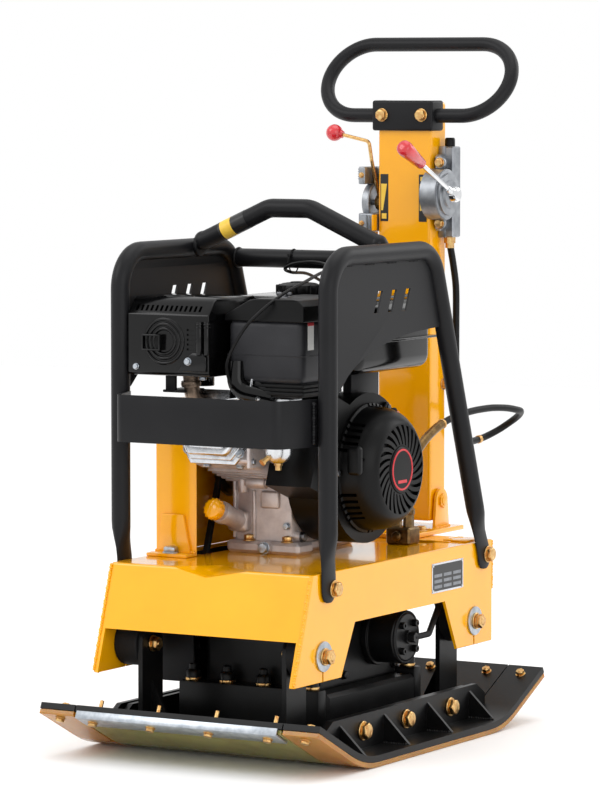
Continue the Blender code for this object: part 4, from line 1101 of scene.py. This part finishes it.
def make_tank():
    body = block("tank_body", (-0.130, -0.050, 0.588), (0.135, 0.196, 0.704), 0.022, 6)
    seam = block("tank_seam", (-0.138, -0.052, 0.6365), (0.143, 0.204, 0.6405), 0.0016, 3)
    swell = block("tank_crown", (-0.108, -0.030, 0.700), (0.113, 0.176, 0.7075), 0.0035, 3)
    neck = turned(
        "tank_neck", [(0, 0.030), (0.0045, 0.030), (0.0065, 0.026), (0.0130, 0.026)], (0, 0, 0.7000),
        (0, 0, 1), 48, 0.0006,
    )
    bore(neck, bar("mouth", (0, 0, 0.7020), (0, 0, 0.730), 0.022, 40))
    seat(group("fuel_tank_skin", [body, seam, swell, neck]), "gloss_black", "chassis", ("fuel_tank",))
    profile = [
        (0, 0.0330), (0.0010, 0.0345), (0.010, 0.0355), (0.0150, 0.0335), (0.0180, 0.0270), (
            0.0190, 0.0200,
        ),
    ]
    cap = turned("cap_body", profile, (0, 0, 0.7105), (0, 0, 1), 72)
    lobes = []
    for i in range(10):
        turn = math.tau * i / 10
        x, y = 0.0325 * math.cos(turn), 0.0325 * math.sin(turn)
        lobes.append(bar(f"cap_lobe_{i}", (x, y, 0.7115), (x, y, 0.7265), 0.0052, 20, 0.0012, 2))
    hub = turned(
        "cap_hub", [(0, 0.0150), (0.0016, 0.0145), (0.0022, 0.0120)], (0, 0, 0.7290), (0, 0, 1), 40,
    )
    seat(group("fuel_cap_skin", [cap, hub, *lobes]), "moulded_nylon", "fuel_cap", ("fuel_cap",))
    brackets = [
        block("tank_bracket_left", (-0.120, 0.030, 0.545), (-0.104, 0.120, 0.589), 0.0015),
        block("tank_bracket_right", (0.062, 0.030, 0.540), (0.078, 0.120, 0.589), 0.0015),
    ]
    seat(group("tank_brackets", brackets), "black_powder_coat")


def make_air_cleaner():
    body = block("cleaner_body", (-0.010, -0.2045, 0.583), (0.125, -0.058, 0.682), 0.012, 5)
    seam = block("cleaner_seam", (-0.0108, -0.2053, 0.6262), (0.1258, -0.058, 0.6274), 0.0004, 1)
    seat(group("air_cleaner_skin", [body, seam]), "charcoal_plastic", "chassis", ("air_cleaner",))
    outline = [(-0.0135, 0.6790), (0.1280, 0.6790), (0.1280, 0.7030), (0.1180, 0.7130), (0.1060, 0.7145)]
    outline += [(0.0420, 0.7145), (0.0300, 0.7120), (-0.0135, 0.6880)]
    lid = plate("cleaner_lid", outline, "XZ", -0.2075, -0.0560, 0.0045, 4)
    seat(lid, "moulded_nylon")
    stack = []
    for i in range(3):
        z = 0.5655 + i * 0.0060
        stack.append(block(f"bellow_{i}", (0.034, -0.2010, z), (0.124, -0.080, z + 0.0052), 0.0022, 3))
    stack.append(block("bellow_core", (0.040, -0.196, 0.562), (0.118, -0.086, 0.586), 0.004, 2))
    seat(group("intake_bellows", stack), "natural_rubber")
    elbow = pipe(
        "intake_elbow",
        filleted([(0.004, -0.200, 0.616), (0.006, -0.204, 0.572), (0.060, -0.186, 0.560)], 0.024, 14),
        0.0150, 8,
    )
    shield = plate(
        "elbow_shield",
        [(-0.012, 0.548), (0.062, 0.556), (0.066, 0.572), (0.040, 0.590), (0.016, 0.606), (-0.008, 0.596)],
        "XZ", -0.200, -0.190, 0.004, 4,
    )
    seat(group("intake_elbow_set", [elbow, shield]), "gloss_black")
    rods = [
        bar("linkage_rod", (-0.010, -0.2060, 0.5560), (0.052, -0.2010, 0.5640), 0.0020, 14),
        bar("linkage_arm", (0.030, -0.2040, 0.5640), (0.034, -0.2035, 0.5900), 0.0024, 14),
        turned(
            "linkage_screw", [(0, 0.0050), (0.004, 0.0050), (0.0052, 0.0036)], (0.022, -0.2000, 0.5720),
            (0, -1, 0), 24,
        ),
        turned(
            "linkage_post", [(0, 0.0030), (0.010, 0.0030), (0.0115, 0.0020)], (0.046, -0.2000, 0.5600),
            (0, -1, 0), 20,
        ),
        plate(
            "linkage_plate", [(0.000, 0.556), (0.024, 0.552), (0.034, 0.560), (0.010, 0.572)], "XZ",
            -0.2035, -0.2015, 0.0006, 1,
        ),
    ]
    seat(group("throttle_linkage", rods), "bright_aluminium")
    wing = [
        turned(
            "wing_nut_hub", [(0, 0.0075), (0.0060, 0.0055), (0.0068, 0.0045)], (0.060, -0.150, 0.7143),
            (0, 0, 1), 24,
        ),
        turned(
            "wing_washer", [(0, 0.0110), (0.0012, 0.0110), (0.0018, 0.0102)], (0.060, -0.150, 0.7133),
            (0, 0, 1), 32,
        ),
        block("wing_left", (0.046, -0.1515, 0.7165), (0.056, -0.1485, 0.7225), 0.0014, 2),
        block("wing_right", (0.064, -0.1515, 0.7165), (0.074, -0.1485, 0.7225), 0.0014, 2),
    ]
    seat(group("wing_nut", wing), "machined_steel")
    label = block("cleaner_label", (0.1252, -0.190, 0.636), (0.1258, -0.172, 0.678), 0.0002, 1)
    seat(label, "white_vinyl")
    band = block("cleaner_label_band", (0.1253, -0.190, 0.6735), (0.1260, -0.172, 0.6785), 0.0002, 1)
    seat(band, "red_ring")

    upper = block("carb_body", (0.018, -0.188, 0.512), (0.092, -0.146, 0.562), 0.005, 3)
    throat = bar("carb_throat", (0.060, -0.168, 0.555), (0.060, -0.168, 0.5815), 0.018, 40, 0.001)
    profile = [
        (0, 0.0080), (0.0015, 0.0120), (0.0060, 0.0165), (0.0160, 0.0215), (0.0310, 0.0220),
        (0.0312, 0.0255), (0.0400, 0.0255), (0.0402, 0.0215), (0.0560, 0.0215),
    ]
    bowl = turned("carb_bowl", profile, (0.060, -0.168, 0.4570), (0, 0, 1), 64, 0.0005, 1)
    seat(group("carburetor_skin", [upper, throat, bowl]), "bright_aluminium", "chassis", ("carburetor",))
    drain = [
        turned(
            "bowl_bolt", [(0, 0.0050), (0.0070, 0.0050), (0.0075, 0.0068), (0.0110, 0.0068)],
            (0.060, -0.168, 0.4465), (0, 0, 1), 6,
        ),
        turned(
            "bowl_drain", [(0, 0.0042), (0.0120, 0.0042), (0.0125, 0.0060), (0.0160, 0.0060)],
            (0.052, -0.183, 0.4680), (-0.35, -0.75, -0.55), 6,
        ),
    ]
    seat(group("bowl_fittings", drain), "yellow_zinc")


def make_muffler():
    side = [(-0.2400, 0.5960), (-0.2400, 0.6870), (-0.2230, 0.7080), (-0.2150, 0.7130), (-0.1020, 0.7130)]
    side += [(-0.0950, 0.7070), (-0.0950, 0.5940), (-0.0980, 0.5920), (-0.2360, 0.5920)]
    shell = plate("muffler_shell", side, "YZ", -0.1705, -0.0225, 0.0050, 4)
    cuts = []
    for i in range(14):
        x = -0.1585 + i * 0.0088
        cuts.append(block(f"guard_slot_{i}", (x, -0.2500, 0.6925), (x + 0.0042, -0.2180, 0.7010)))
    for i in range(5):
        z = 0.6330 + i * 0.0075
        cuts.append(block(f"louvre_{i}", (-0.0620, -0.2440, z), (-0.0480, -0.2375, z + 0.0032)))
    bore(shell, group("guard_slots", cuts))
    inlet = bar("muffler_inlet", (-0.100, -0.130, 0.570), (-0.100, -0.130, 0.600), 0.018, 32, 0.001)
    seat(group("muffler_skin", [shell, inlet]), "gloss_black", "chassis", ("muffler",))
    pressed = [
        ring(f"pressed_ring_{r}", (-0.1035, -0.2392, 0.6460), (0, 1, 0), r, 0.0030, 72)
        for r in (0.0345, 0.0270, 0.0195)
    ]
    oval = ring("top_recess", (-0.110, -0.190, 0.7125), (0, 0, 1), 0.020, 0.0022, 64)
    oval.data.transform(
        Matrix.Translation(
            (-0.110, -0.190, 0)
        ) @ Matrix.Diagonal((1.35, 1, 1, 1)) @ Matrix.Translation((0.110, 0.190, 0))
    )
    duct = block("outlet_duct", (-0.1395, -0.2500, 0.6310), (-0.1055, -0.2350, 0.6570), 0.002, 2)
    bore(duct, block("outlet_throat", (-0.1365, -0.2600, 0.6340), (-0.1085, -0.2380, 0.6540)))
    tubes = []
    for x, y in ((-0.0370, -0.2440), (-0.0260, -0.2400)):
        tubes.append(bar(f"guard_tube_{x}", (x, y, 0.6260), (x, y, 0.6780), 0.0052, 28, 0.0012))
        tubes += [
            ring(f"tube_ring_{x}_{z}", (x, y, z), (0, 0, 1), 0.0052, 0.0011, 32) for z in (0.6690, 0.6740)
        ]
    flange = [
        (-0.0770, 0.6000), (-0.0250, 0.6000), (-0.0250, 0.6230), (-0.0320, 0.6300), (-0.0510, 0.6300),
        (-0.0670, 0.6180),
    ]
    skirt = plate("guard_flange", flange, "XZ", -0.2450, -0.2330, 0.0025, 3)
    seat(group("muffler_guard_parts", [*pressed, oval, duct, *tubes, skirt]), "gloss_black")
    # Painted shade: a matt black sheet set in the outlet's throat, where the inside is dark only from shade.
    seat(
        block("outlet_dark", (-0.1363, -0.2410, 0.6342), (-0.1087, -0.2385, 0.6538), 0.0004, 1),
        "soot_black",
    )
    guard = [((-0.0570, -0.2450, 0.6160), (0, -1, 0), 0.60), ((-0.155, -0.2400, 0.6050), (0, -1, 0), 0.5)]
    fasteners("guard_screws", SCREW, guard, finish="clear_zinc")
    under = [
        block("guard_bracket", (-0.1200, -0.2100, 0.5640), (-0.1020, -0.2040, 0.5940), 0.001),
        block("guard_bracket_low", (-0.1250, -0.2100, 0.5640), (-0.0850, -0.1500, 0.5680), 0.001),
    ]
    seat(group("muffler_brackets", under), "black_powder_coat")
    bend = pipe(
        "exhaust_pipe",
        filleted(
            [
                (-0.083, -0.196, 0.600), (-0.083, -0.190, 0.560), (-0.072, -0.150, 0.530),
                (-0.066, -0.132, 0.520),
            ],
            0.018, 10,
        ),
        0.0125, 8,
    )
    seat(bend, "heated_steel")
    collar = turned(
        "exhaust_collar", [(0, 0.0150), (0.004, 0.0160), (0.008, 0.0150)], (-0.083, -0.1935, 0.5740),
        (0, -0.1, 1), 40,
    )
    seat(collar, "heated_steel")
    fasteners("exhaust_nuts", STUD, [((-0.045, -0.2200, 0.5930), (0, 0, -1), 0.65)], finish="clear_zinc")


make_tank()
make_air_cleaner()
make_muffler()


# ---- frame ----

FRAME_X = 0.187
TUBE = 0.015
FRONT_FOOT = (
    ((0.1870, -0.2350, 0.3620), 0.0150, 0.0150),
    ((0.1868, -0.2348, 0.3500), 0.0142, 0.0156),
    ((0.1860, -0.2335, 0.3340), 0.0100, 0.0180),
    ((0.1850, -0.2315, 0.3200), 0.0058, 0.0198),
    ((0.1845, -0.2295, 0.3060), 0.0036, 0.0210),
    ((0.1844, -0.2282, 0.2900), 0.0033, 0.0214),
    ((0.1844, -0.2280, 0.2720), 0.0033, 0.0210),
    ((0.1844, -0.2280, 0.2620), 0.0033, 0.0180),
    ((0.1844, -0.2280, 0.2565), 0.0032, 0.0130),
    ((0.1844, -0.2280, 0.2540), 0.0028, 0.0070),
)
REAR_FOOT = (
    ((0.1870, 0.2437, 0.3620), 0.0150, 0.0158),
    ((0.1868, 0.2482, 0.3500), 0.0142, 0.0166),
    ((0.1860, 0.2550, 0.3340), 0.0100, 0.0182),
    ((0.1850, 0.2620, 0.3200), 0.0058, 0.0198),
    ((0.1845, 0.2700, 0.3060), 0.0036, 0.0208),
    ((0.1844, 0.2780, 0.2900), 0.0033, 0.0212),
    ((0.1844, 0.2820, 0.2740), 0.0033, 0.0208),
    ((0.1844, 0.2825, 0.2630), 0.0033, 0.0180),
    ((0.1844, 0.2825, 0.2575), 0.0032, 0.0130),
    ((0.1844, 0.2825, 0.2550), 0.0028, 0.0070),
)


def make_side_frame(name, side, node):
    corners = [(-0.235, 0.360), (-0.235, 0.782), (0.094, 0.782), (0.2444, 0.360)]
    line = [tuple(p) for p in filleted(corners, 0.058, 14)]
    tube = pipe(f"{name}_tube", [(FRAME_X, y, z) for y, z in line], TUBE, 8)
    feet = [loft(f"{name}_foot_{i}", rings) for i, rings in enumerate((FRONT_FOOT, REAR_FOOT))]
    inset = TUBE - 0.006
    corners = [(-0.235, 0.560), (-0.235, 0.782), (0.094, 0.782), (0.1375, 0.660)]
    rounded = filleted(corners, 0.058, 14)
    top = []
    for before, here, after in zip(rounded, rounded[1:], rounded[2:]):
        along = (after - before).normalized()
        top.append((here.x + along.y * inset, here.y - along.x * inset))
    bottom = [
        (0.122, 0.659), (0.080, 0.657), (0.042, 0.655), (0.008, 0.652), (-0.022, 0.648), (-0.050, 0.643),
    ]
    bottom += [
        (-0.077, 0.637), (-0.114, 0.627), (-0.149, 0.613), (-0.175, 0.598), (-0.192, 0.584), (
            -0.206, 0.572,
        ),
    ]
    slots = []
    for i in range(3):
        y = -0.095 + i * 0.045
        slots.append([(y, 0.690), (y + 0.014, 0.690), (y + 0.028, 0.724), (y + 0.014, 0.724)])
    panel = plate(
        f"{name}_panel", [
            (-0.226, 0.562), *top, *bottom
        ], "YZ", FRAME_X - 0.0015, FRAME_X + 0.0015, 0.0005, 1, slots
    )
    beads = []
    for y in (-0.190, -0.120, -0.050, 0.020):
        beads.append(
            weld_bead(
                f"{name}_bead_{y}", (FRAME_X + 0.0020, y, 0.7672), (FRAME_X + 0.0020, y + 0.024, 0.7672),
                0.0017,
            )
        )
    made = group(name, [tube, *feet, panel, *beads])
    if side < 0:
        flipped = mirrored(made, name)
        bpy.data.objects.remove(made)
        made = flipped
        made.name = name
    seat(made, "black_powder_coat", "chassis", (node,), 50)


def make_frame():
    make_side_frame("side_frame_right", 1, "cage_frame_right")
    make_side_frame("side_frame_left", -1, "cage_frame_left")
    screws = [
        ((s * 0.1874, y, z), (s, 0, 0), 1.30) for s in (-1, 1) for y, z in ((-0.217, 0.274), (0.289, 0.278))
    ]
    fasteners("frame_screws", SCREW, screws)

    reach = FRAME_X - TUBE - 0.0004
    cross = bar("cross_tube_skin", (-reach, 0.097, 0.762), (reach, 0.097, 0.762), TUBE, 64, 0.0008)
    seat(cross, "black_powder_coat", "chassis", ("cage_cross_tube",))
    beads = [
        ring(f"cross_bead_{s}", (s * (reach - 0.001), 0.097, 0.762), (1, 0, 0), TUBE, 0.0022, 56)
        for s in (-1, 1)
    ]
    seat(group("cross_weld_beads", beads), "black_powder_coat")
    tie = ring("cable_tie_loop", (-0.066, 0.0955, 0.7580), (1, 0.1, 0), 0.0195, 0.0011, 48)
    knot = block("cable_tie_head", (-0.069, 0.0790, 0.7660), (-0.063, 0.0835, 0.7710), 0.0008, 1)
    tail = bar("cable_tie_tail", (-0.066, 0.0810, 0.7680), (-0.0655, 0.0745, 0.7560), 0.0009, 10)
    seat(group("cable_tie", [tie, knot, tail]), "natural_rubber")

    corners = [(-0.1690, -0.238), (-0.143, -0.3125), (0.143, -0.3125), (0.1690, -0.238)]
    line = filleted(corners, 0.014, 12)
    outer, inner = [], []
    for i, here in enumerate(line):
        along = (line[min(i + 1, len(line) - 1)] - line[max(i - 1, 0)]).normalized()
        side = Vector((along.y, -along.x)) * 0.0025
        outer.append(tuple(here + side))
        inner.append(tuple(here - side))
    band = plate("bumper_band", outer + inner[::-1], "XY", 0.493, 0.566, 0.0008, 2)
    beads = [
        weld_bead(f"bumper_bead_{s}", (s * 0.1705, -0.2500, 0.500), (s * 0.1705, -0.2500, 0.559), 0.0028)
        for s in (-1, 1)
    ]
    seat(group("front_bumper_skin", [band, *beads]), "black_powder_coat", "chassis", ("front_bumper",), 40)

    half = [(0.1600, 0.7935), (0.1400, 0.8020), (0.037, 0.848)]
    knees = [(-x, z) for x, z in half] + [(x, z) for x, z in reversed(half)]
    path = [(p[0], -0.030, p[1]) for p in filleted(knees, 0.04, 12)]
    bail = [pipe("bail_tube", path, TUBE, 8)]
    for s in (-1, 1):
        outline = arc((-0.030, 0.784), 0.0150, 180, 360, 20)
        outline += [(-0.0170, 0.7985), (-0.0430, 0.7985)]
        low, high = sorted((s * 0.1645, s * 0.1705))
        bail.append(plate(f"bail_tab_{s}", outline, "YZ", low, high, 0.0012, 2))
        bail.append(sphere(f"bail_shoulder_{s}", (s * 0.1600, -0.030, 0.7945), 0.0152, 40))
    seat(group("lifting_bar_skin", bail), "black_powder_coat", "lifting_bar", ("lifting_bar",), 45)
    pins = [((s * 0.1640, -0.030, 0.785), (-s, 0, 0), 0.62) for s in (-1, 1)]
    fasteners("bail_pins", SCREW, pins, "lifting_bar", "black_powder_coat")
    knee_low, knee_high = Vector((-0.1235, -0.030, 0.8094)), Vector((-0.0760, -0.030, 0.8306))
    wrap = bar("bail_label", knee_low, knee_high, 0.01525, 48)
    seat(wrap, "black_vinyl", "lifting_bar")
    stripe = bar(
        "bail_label_stripe", knee_low.lerp(knee_high, 0.08), knee_low.lerp(knee_high, 0.48), 0.01540, 48,
    )
    seat(stripe, "yellow_vinyl", "lifting_bar")


make_frame()


# ---- column ----


def make_column():
    refined("column", "yellow_enamel", 0.0015, 3)
    feet = [block("bracket_base", (-0.074, 0.236, 0.3003), (0.074, 0.420, 0.308), 0.0015, 3)]
    ear = [(0.347, 0.304), (0.398, 0.304)] + arc((0.3725, 0.352), 0.020, 0, 180, 20)
    for low, high in ((-0.0580, -0.0532), (0.0532, 0.0580)):
        feet.append(plate(f"ear_{low}", ear, "YZ", low, high, 0.001))
    seat(group("column_bracket_skin", feet), "yellow_enamel", "chassis", ("column_bracket",))
    bolt = [bar("pivot_shank", (-0.0640, 0.3725, 0.352), (0.0640, 0.3725, 0.352), 0.0080, 32, 0.0006)]
    for s in (-1, 1):
        bolt.append(
            bar(
                f"pivot_head_{s}", (s * 0.0575, 0.3725, 0.352), (s * 0.0625, 0.3725, 0.352), 0.0125, 6,
                0.0008,
            )
        )
    seat(group("pivot_bolt_skin", bolt), "yellow_enamel", "chassis", ("column_pivot_bolt",))
    fasteners(
        "bracket_screws", SCREW,
        [((s * 0.058, y, 0.308), (0, 0, 1), 0.95) for s in (-1, 1) for y in (0.256, 0.300)],
    )
    fasteners("column_screw", SCREW, [((0.0500, 0.3900, 0.545), (1, 0, 0), 0.95)], "column")
    beads = [
        weld_bead(f"ear_bead_{s}", (s * 0.0590, 0.350, 0.3085), (s * 0.0590, 0.396, 0.3085), 0.0022)
        for s in (-1, 1)
    ]
    seat(group("ear_weld_beads", beads), "yellow_enamel")
    gusset = plate(
        "rear_foot_plate", [(0.128, 0.246), (0.170, 0.246), (0.170, 0.300), (0.128, 0.300)], "XY", 0.3000,
        0.3030, 0.001,
    )
    seat(gusset, "yellow_enamel")

    labels = []
    for low, high in ((-0.0445, -0.0300), (0.0280, 0.0425)):
        labels.append(block(f"label_{low}", (low, 0.3444, 0.816), (high, 0.3451, 0.894), 0.0001, 1))
    seat(group("column_labels", labels), "black_vinyl", "column")
    wedges = [
        plate(
            "wedge_left", [(-0.0430, 0.834), (-0.0395, 0.834), (-0.0320, 0.878), (-0.0430, 0.878)], "XZ",
            0.3441, 0.3446,
        ),
        plate(
            "wedge_right", [(0.0300, 0.834), (0.0330, 0.834), (0.0410, 0.878), (0.0300, 0.878)], "XZ",
            0.3441, 0.3446,
        ),
        block("spot_left", (-0.0420, 0.3441, 0.820), (-0.0330, 0.3446, 0.829), 0.0001, 1),
        block("spot_right", (0.0310, 0.3441, 0.883), (0.0400, 0.3446, 0.890), 0.0001, 1),
    ]
    seat(group("label_wedges", wedges), "yellow_vinyl", "column")

    clamp = block("saddle", (-0.0565, 0.336, 0.966), (0.0565, 0.378, 1.016), 0.004, 4)
    bore(clamp, block("saddle_seat", (-0.0503, 0.3447, 0.90), (0.0503, 0.50, 1.10)))
    base, up = Vector((0, 0.357, 0.991)), Vector((0, 0.541, 0.841))
    height, bend = 0.140, 0.070
    flat = [(0.052, 0)] + [(0.101 + u, bend + v) for u, v in arc((0, 0), bend, -90, 90, 40)]
    flat += [(-0.101 + u, bend + v) for u, v in arc((0, 0), bend, 90, 270, 40)] + [(-0.052, 0)]
    loop = pipe("loop", [base + Vector((s, 0, 0)) + up * min(t, height) for s, t in flat], 0.0118, 8)
    seat(group("handle_bar_skin", [clamp, loop]), "black_powder_coat", "column", ("handle_bar",), 50)
    fasteners(
        "saddle_screws", SCREW, [((x, 0.3360, 0.992), (0, -1, 0), 1.05) for x in (-0.037, 0.037)], "column"
    )


def make_controls():
    refined("control_head", "die_casting", 0.0020, 3)
    refined("control_piston", "machined_steel", 0.0005, 1)
    face = turned(
        "control_face",
        [
            (0, 0.0405), (0.0016, 0.0405), (0.0022, 0.0350), (0.0060, 0.0345), (0.0066, 0.0240),
            (0.0100, 0.0225), (0.0104, 0.0150),
        ],
        (0.0796, 0.345, 0.862), (1, 0, 0), 72,
    )
    ends = [
        block(f"head_end_{z}", (0.0506, 0.3700, z), (0.0640, 0.4000, z + 0.022), 0.0020, 2)
        for z in (0.7895, 0.9185)
    ]
    seat(group("control_castings", [face, *ends]), "die_casting", "column")
    lugs = [
        bar(f"lug_{z}", (0.0640, 0.3500, z), (0.0640, 0.3560, z), 0.0098, 32, 0.001) for z in (0.814, 0.914)
    ]
    seat(group("control_lugs", lugs), "die_casting", "column")
    fasteners(
        "control_screws", SCREW, [((0.0640, 0.3502, z), (0, -1, 0), 0.80) for z in (0.814, 0.914)], "column"
    )
    cap = turned(
        "valve_cap", [(0, 0.0085), (0.0120, 0.0085), (0.0150, 0.0070)], (0.064, 0.3860, 0.9395), (0, 0, 1),
        32,
    )
    seat(cap, "moulded_nylon", "column")
    nut = turned(
        "line_union", [(0, 0.0095), (0.0100, 0.0095), (0.0102, 0.0075), (0.0180, 0.0075)],
        (0.064, 0.3860, 0.7900), (0, 0, -1), 6,
    )
    seat(nut, "yellow_zinc", "column")

    reach = Vector((0, -math.cos(math.radians(25)), math.sin(math.radians(25))))
    hub = Vector((0.093, 0.345, 0.862))
    arm = bar("lever_arm", hub, hub + reach * 0.172, 0.0042, 32, 0.0006)
    boss = turned(
        "lever_boss", [(0, 0.0135), (0.0160, 0.0135), (0.0205, 0.0110), (0.0220, 0.0070)],
        (0.0815, 0.345, 0.862), (1, 0, 0), 56,
    )
    spindle = bar("lever_spindle", (0.062, 0.345, 0.862), (0.084, 0.345, 0.862), 0.006, 32)
    collar = turned(
        "lever_collar", [(0, 0.0062), (0.0120, 0.0058), (0.0140, 0.0048)], hub + reach * 0.010, reach, 32,
    )
    seat(
        group("control_lever_skin", [arm, boss, spindle, collar]), "chrome", "travel_lever",
        ("control_lever",),
    )
    profile = [
        (0, 0.0078), (0.0012, 0.0090), (0.0500, 0.0125), (0.0610, 0.0132), (0.0665, 0.0122),
        (0.0700, 0.0092), (0.0712, 0.0040),
    ]
    grip = turned("control_grip_skin", profile, hub + reach * 0.123, reach, 56)
    seat(grip, "red_phenolic", "travel_lever", ("control_grip",), 60)

    centre = (-0.0785, 0.374, 0.846)
    cover = turned(
        "throttle_drum", [
            (0, 0.0325), (0.0015, 0.0340), (0.0110, 0.0340), (0.0122, 0.0328),
        ], centre, (1, 0, 0), 72
    )
    bore(cover, bar("drum_recess", (-0.0740, 0.374, 0.846), (-0.060, 0.374, 0.846), 0.0290, 56))
    parts = [
        cover,
        block("throttle_top", (-0.0787, 0.330, 0.877), (-0.0664, 0.376, 0.906), 0.0020, 3),
        block("throttle_rear", (-0.0700, 0.3700, 0.872), (-0.0506, 0.378, 0.906), 0.0010, 2),
        block("throttle_low", (-0.0787, 0.330, 0.798), (-0.0506, 0.376, 0.829), 0.0025, 3),
        bar("throttle_pin", (-0.077, 0.374, 0.846), (-0.0506, 0.374, 0.846), 0.005, 32),
        ring("throttle_rim", (-0.0668, 0.374, 0.846), (1, 0, 0), 0.0318, 0.0012, 64),
    ]
    for i in range(5):
        z = 0.9010 - i * 0.0040
        parts.append(block(f"tooth_{i}", (-0.0796, 0.3305, z), (-0.0784, 0.3755, z + 0.0016), 0.0002, 1))
    seat(group("throttle_housing_skin", parts), "die_casting", "column", ("throttle_housing",))
    tab = block("throttle_tab", (-0.0660, 0.3300, 0.8000), (-0.0503, 0.3440, 0.8270), 0.0012, 2)
    seat(tab, "yellow_enamel", "column")
    fasteners(
        "throttle_screws", SCREW, [((-0.0725, 0.3302, z), (0, -1, 0), 0.45) for z in (0.892, 0.812)],
        "column",
    )
    nut = turned(
        "cable_ferrule", [(0, 0.0050), (0.0090, 0.0050), (0.0095, 0.0036), (0.0200, 0.0034)],
        (-0.061, 0.356, 0.7975), (0, 0, -1), 20,
    )
    seat(nut, "yellow_zinc", "column")

    profile = [(0, 0.0120), (0.0010, 0.0130), (0.0080, 0.0130), (0.0090, 0.0120)]
    hub_disc = turned("throttle_hub", profile, (-0.0655, 0.374, 0.846), (1, 0, 0), 48)
    bore(hub_disc, bar("hub_bore", (-0.09, 0.374, 0.846), (-0.04, 0.374, 0.846), 0.0053, 28))
    corners = [
        (-0.061, 0.370, 0.856), (-0.061, 0.344, 0.916), (-0.064, 0.340, 0.948), (-0.118, 0.336, 0.960),
    ]
    wire = pipe("throttle_wire", filleted(corners, 0.008, 10), 0.003, 5)
    seat(group("throttle_lever_skin", [hub_disc, wire]), "yellow_zinc", "throttle", ("throttle_lever",))
    knob = sphere("throttle_knob_skin", (-0.127, 0.335, 0.962), 0.0141, 48)
    neck = turned(
        "knob_neck", [(0, 0.0060), (0.0030, 0.0068), (0.0080, 0.0095)], (-0.1115, 0.3365, 0.9588),
        (-0.9725, -0.094, 0.213), 40,
    )
    seat(group("throttle_knob_skin", [knob, neck]), "red_phenolic", "throttle", ("throttle_knob",), 60)


# Points of the hose's path at which the rigid pipe ends and the band sits on the loop's lower run.
PIPE_END = 31
BAND_POINT = 110


def make_hydraulics():
    refined("hydraulic_fitting", "bronzed_zinc", 0.0008, 1)
    extras = [
        turned(
            "union_nut", [(0, 0.0105), (0.0090, 0.0105), (0.0092, 0.0085), (0.0120, 0.0085)],
            (0.100, 0.180, 0.3485), (0, 0, 1), 6, 0.0005, 1,
        ),
        turned(
            "side_plug", [(0, 0.0090), (0.0060, 0.0090), (0.0066, 0.0078)], (0.0905, 0.1605, 0.314),
            (0, -1, 0), 6, 0.0005, 1,
        ),
    ]
    seat(group("fitting_unions", extras), "bronzed_zinc")
    seat(pipe("rigid_pipe", HOSE_PATH[2 : PIPE_END + 1], 0.0074, 6), "bronzed_zinc")
    start, ahead = HOSE_PATH[PIPE_END], HOSE_PATH[PIPE_END + 2]
    lip = [(0, 0.0076), (0.0006, 0.0084), (0.0040, 0.0084), (0.0046, 0.0076)]
    seat(turned("hose_ferrule", lip, start, ahead - start, 40, 0.0004, 1), "yellow_zinc")
    spot, ahead = HOSE_PATH[BAND_POINT], HOSE_PATH[BAND_POINT + 2]
    band = turned(
        "hose_band", [(0, 0.0064), (0.0006, 0.0070), (0.0064, 0.0070), (0.0070, 0.0064)], spot,
        ahead - spot, 40,
    )
    seat(band, "yellow_zinc")


make_column()
make_controls()
make_hydraulics()


# ---- studio ----


def make_studio():
    bpy.context.scene.view_settings.view_transform = "Standard"
    ops.object.select_all(action="DESELECT")
    ops.mesh.primitive_plane_add(size=14, location=(0, 0, -FLOOR_DROP))
    floor = named("floor")
    paper = bpy.data.materials.new("studio_paper")
    paper.use_nodes = True
    shader = paper.node_tree.nodes["Principled BSDF"]
    shader.inputs["Base Color"].default_value = linear("#FFFFFF")
    shader.inputs["Roughness"].default_value = 0.75
    floor.data.materials.append(paper)

    world = bpy.data.worlds.new("studio_air")
    world.use_nodes = True
    background = world.node_tree.nodes["Background"]
    background.inputs["Color"].default_value = linear("#FFFFFF")
    background.inputs["Strength"].default_value = 1.0
    bpy.context.scene.world = world

    boxes = (
        ("key_light", (-2.2, -2.6, 3.2), 2.2, 45),
        ("fill_light", (3.4, -2.2, 1.8), 2.6, 25),
        ("top_light", (0.3, 0.4, 3.6), 2.4, 25),
        ("rim_light", (1.6, 3.0, 2.2), 1.8, 20),
    )
    for name, place, size, power in boxes:
        light = bpy.data.lights.new(name, "AREA")
        light.size = size
        light.energy = power
        lamp = bpy.data.objects.new(name, light)
        bpy.context.scene.collection.objects.link(lamp)
        lamp.location = place
        aim = Vector((0, 0, 0.5)) - Vector(place)
        lamp.rotation_euler = aim.to_track_quat("-Z", "Y").to_euler()


make_studio()

for template in TEMPLATES:
    bpy.data.objects.remove(template)
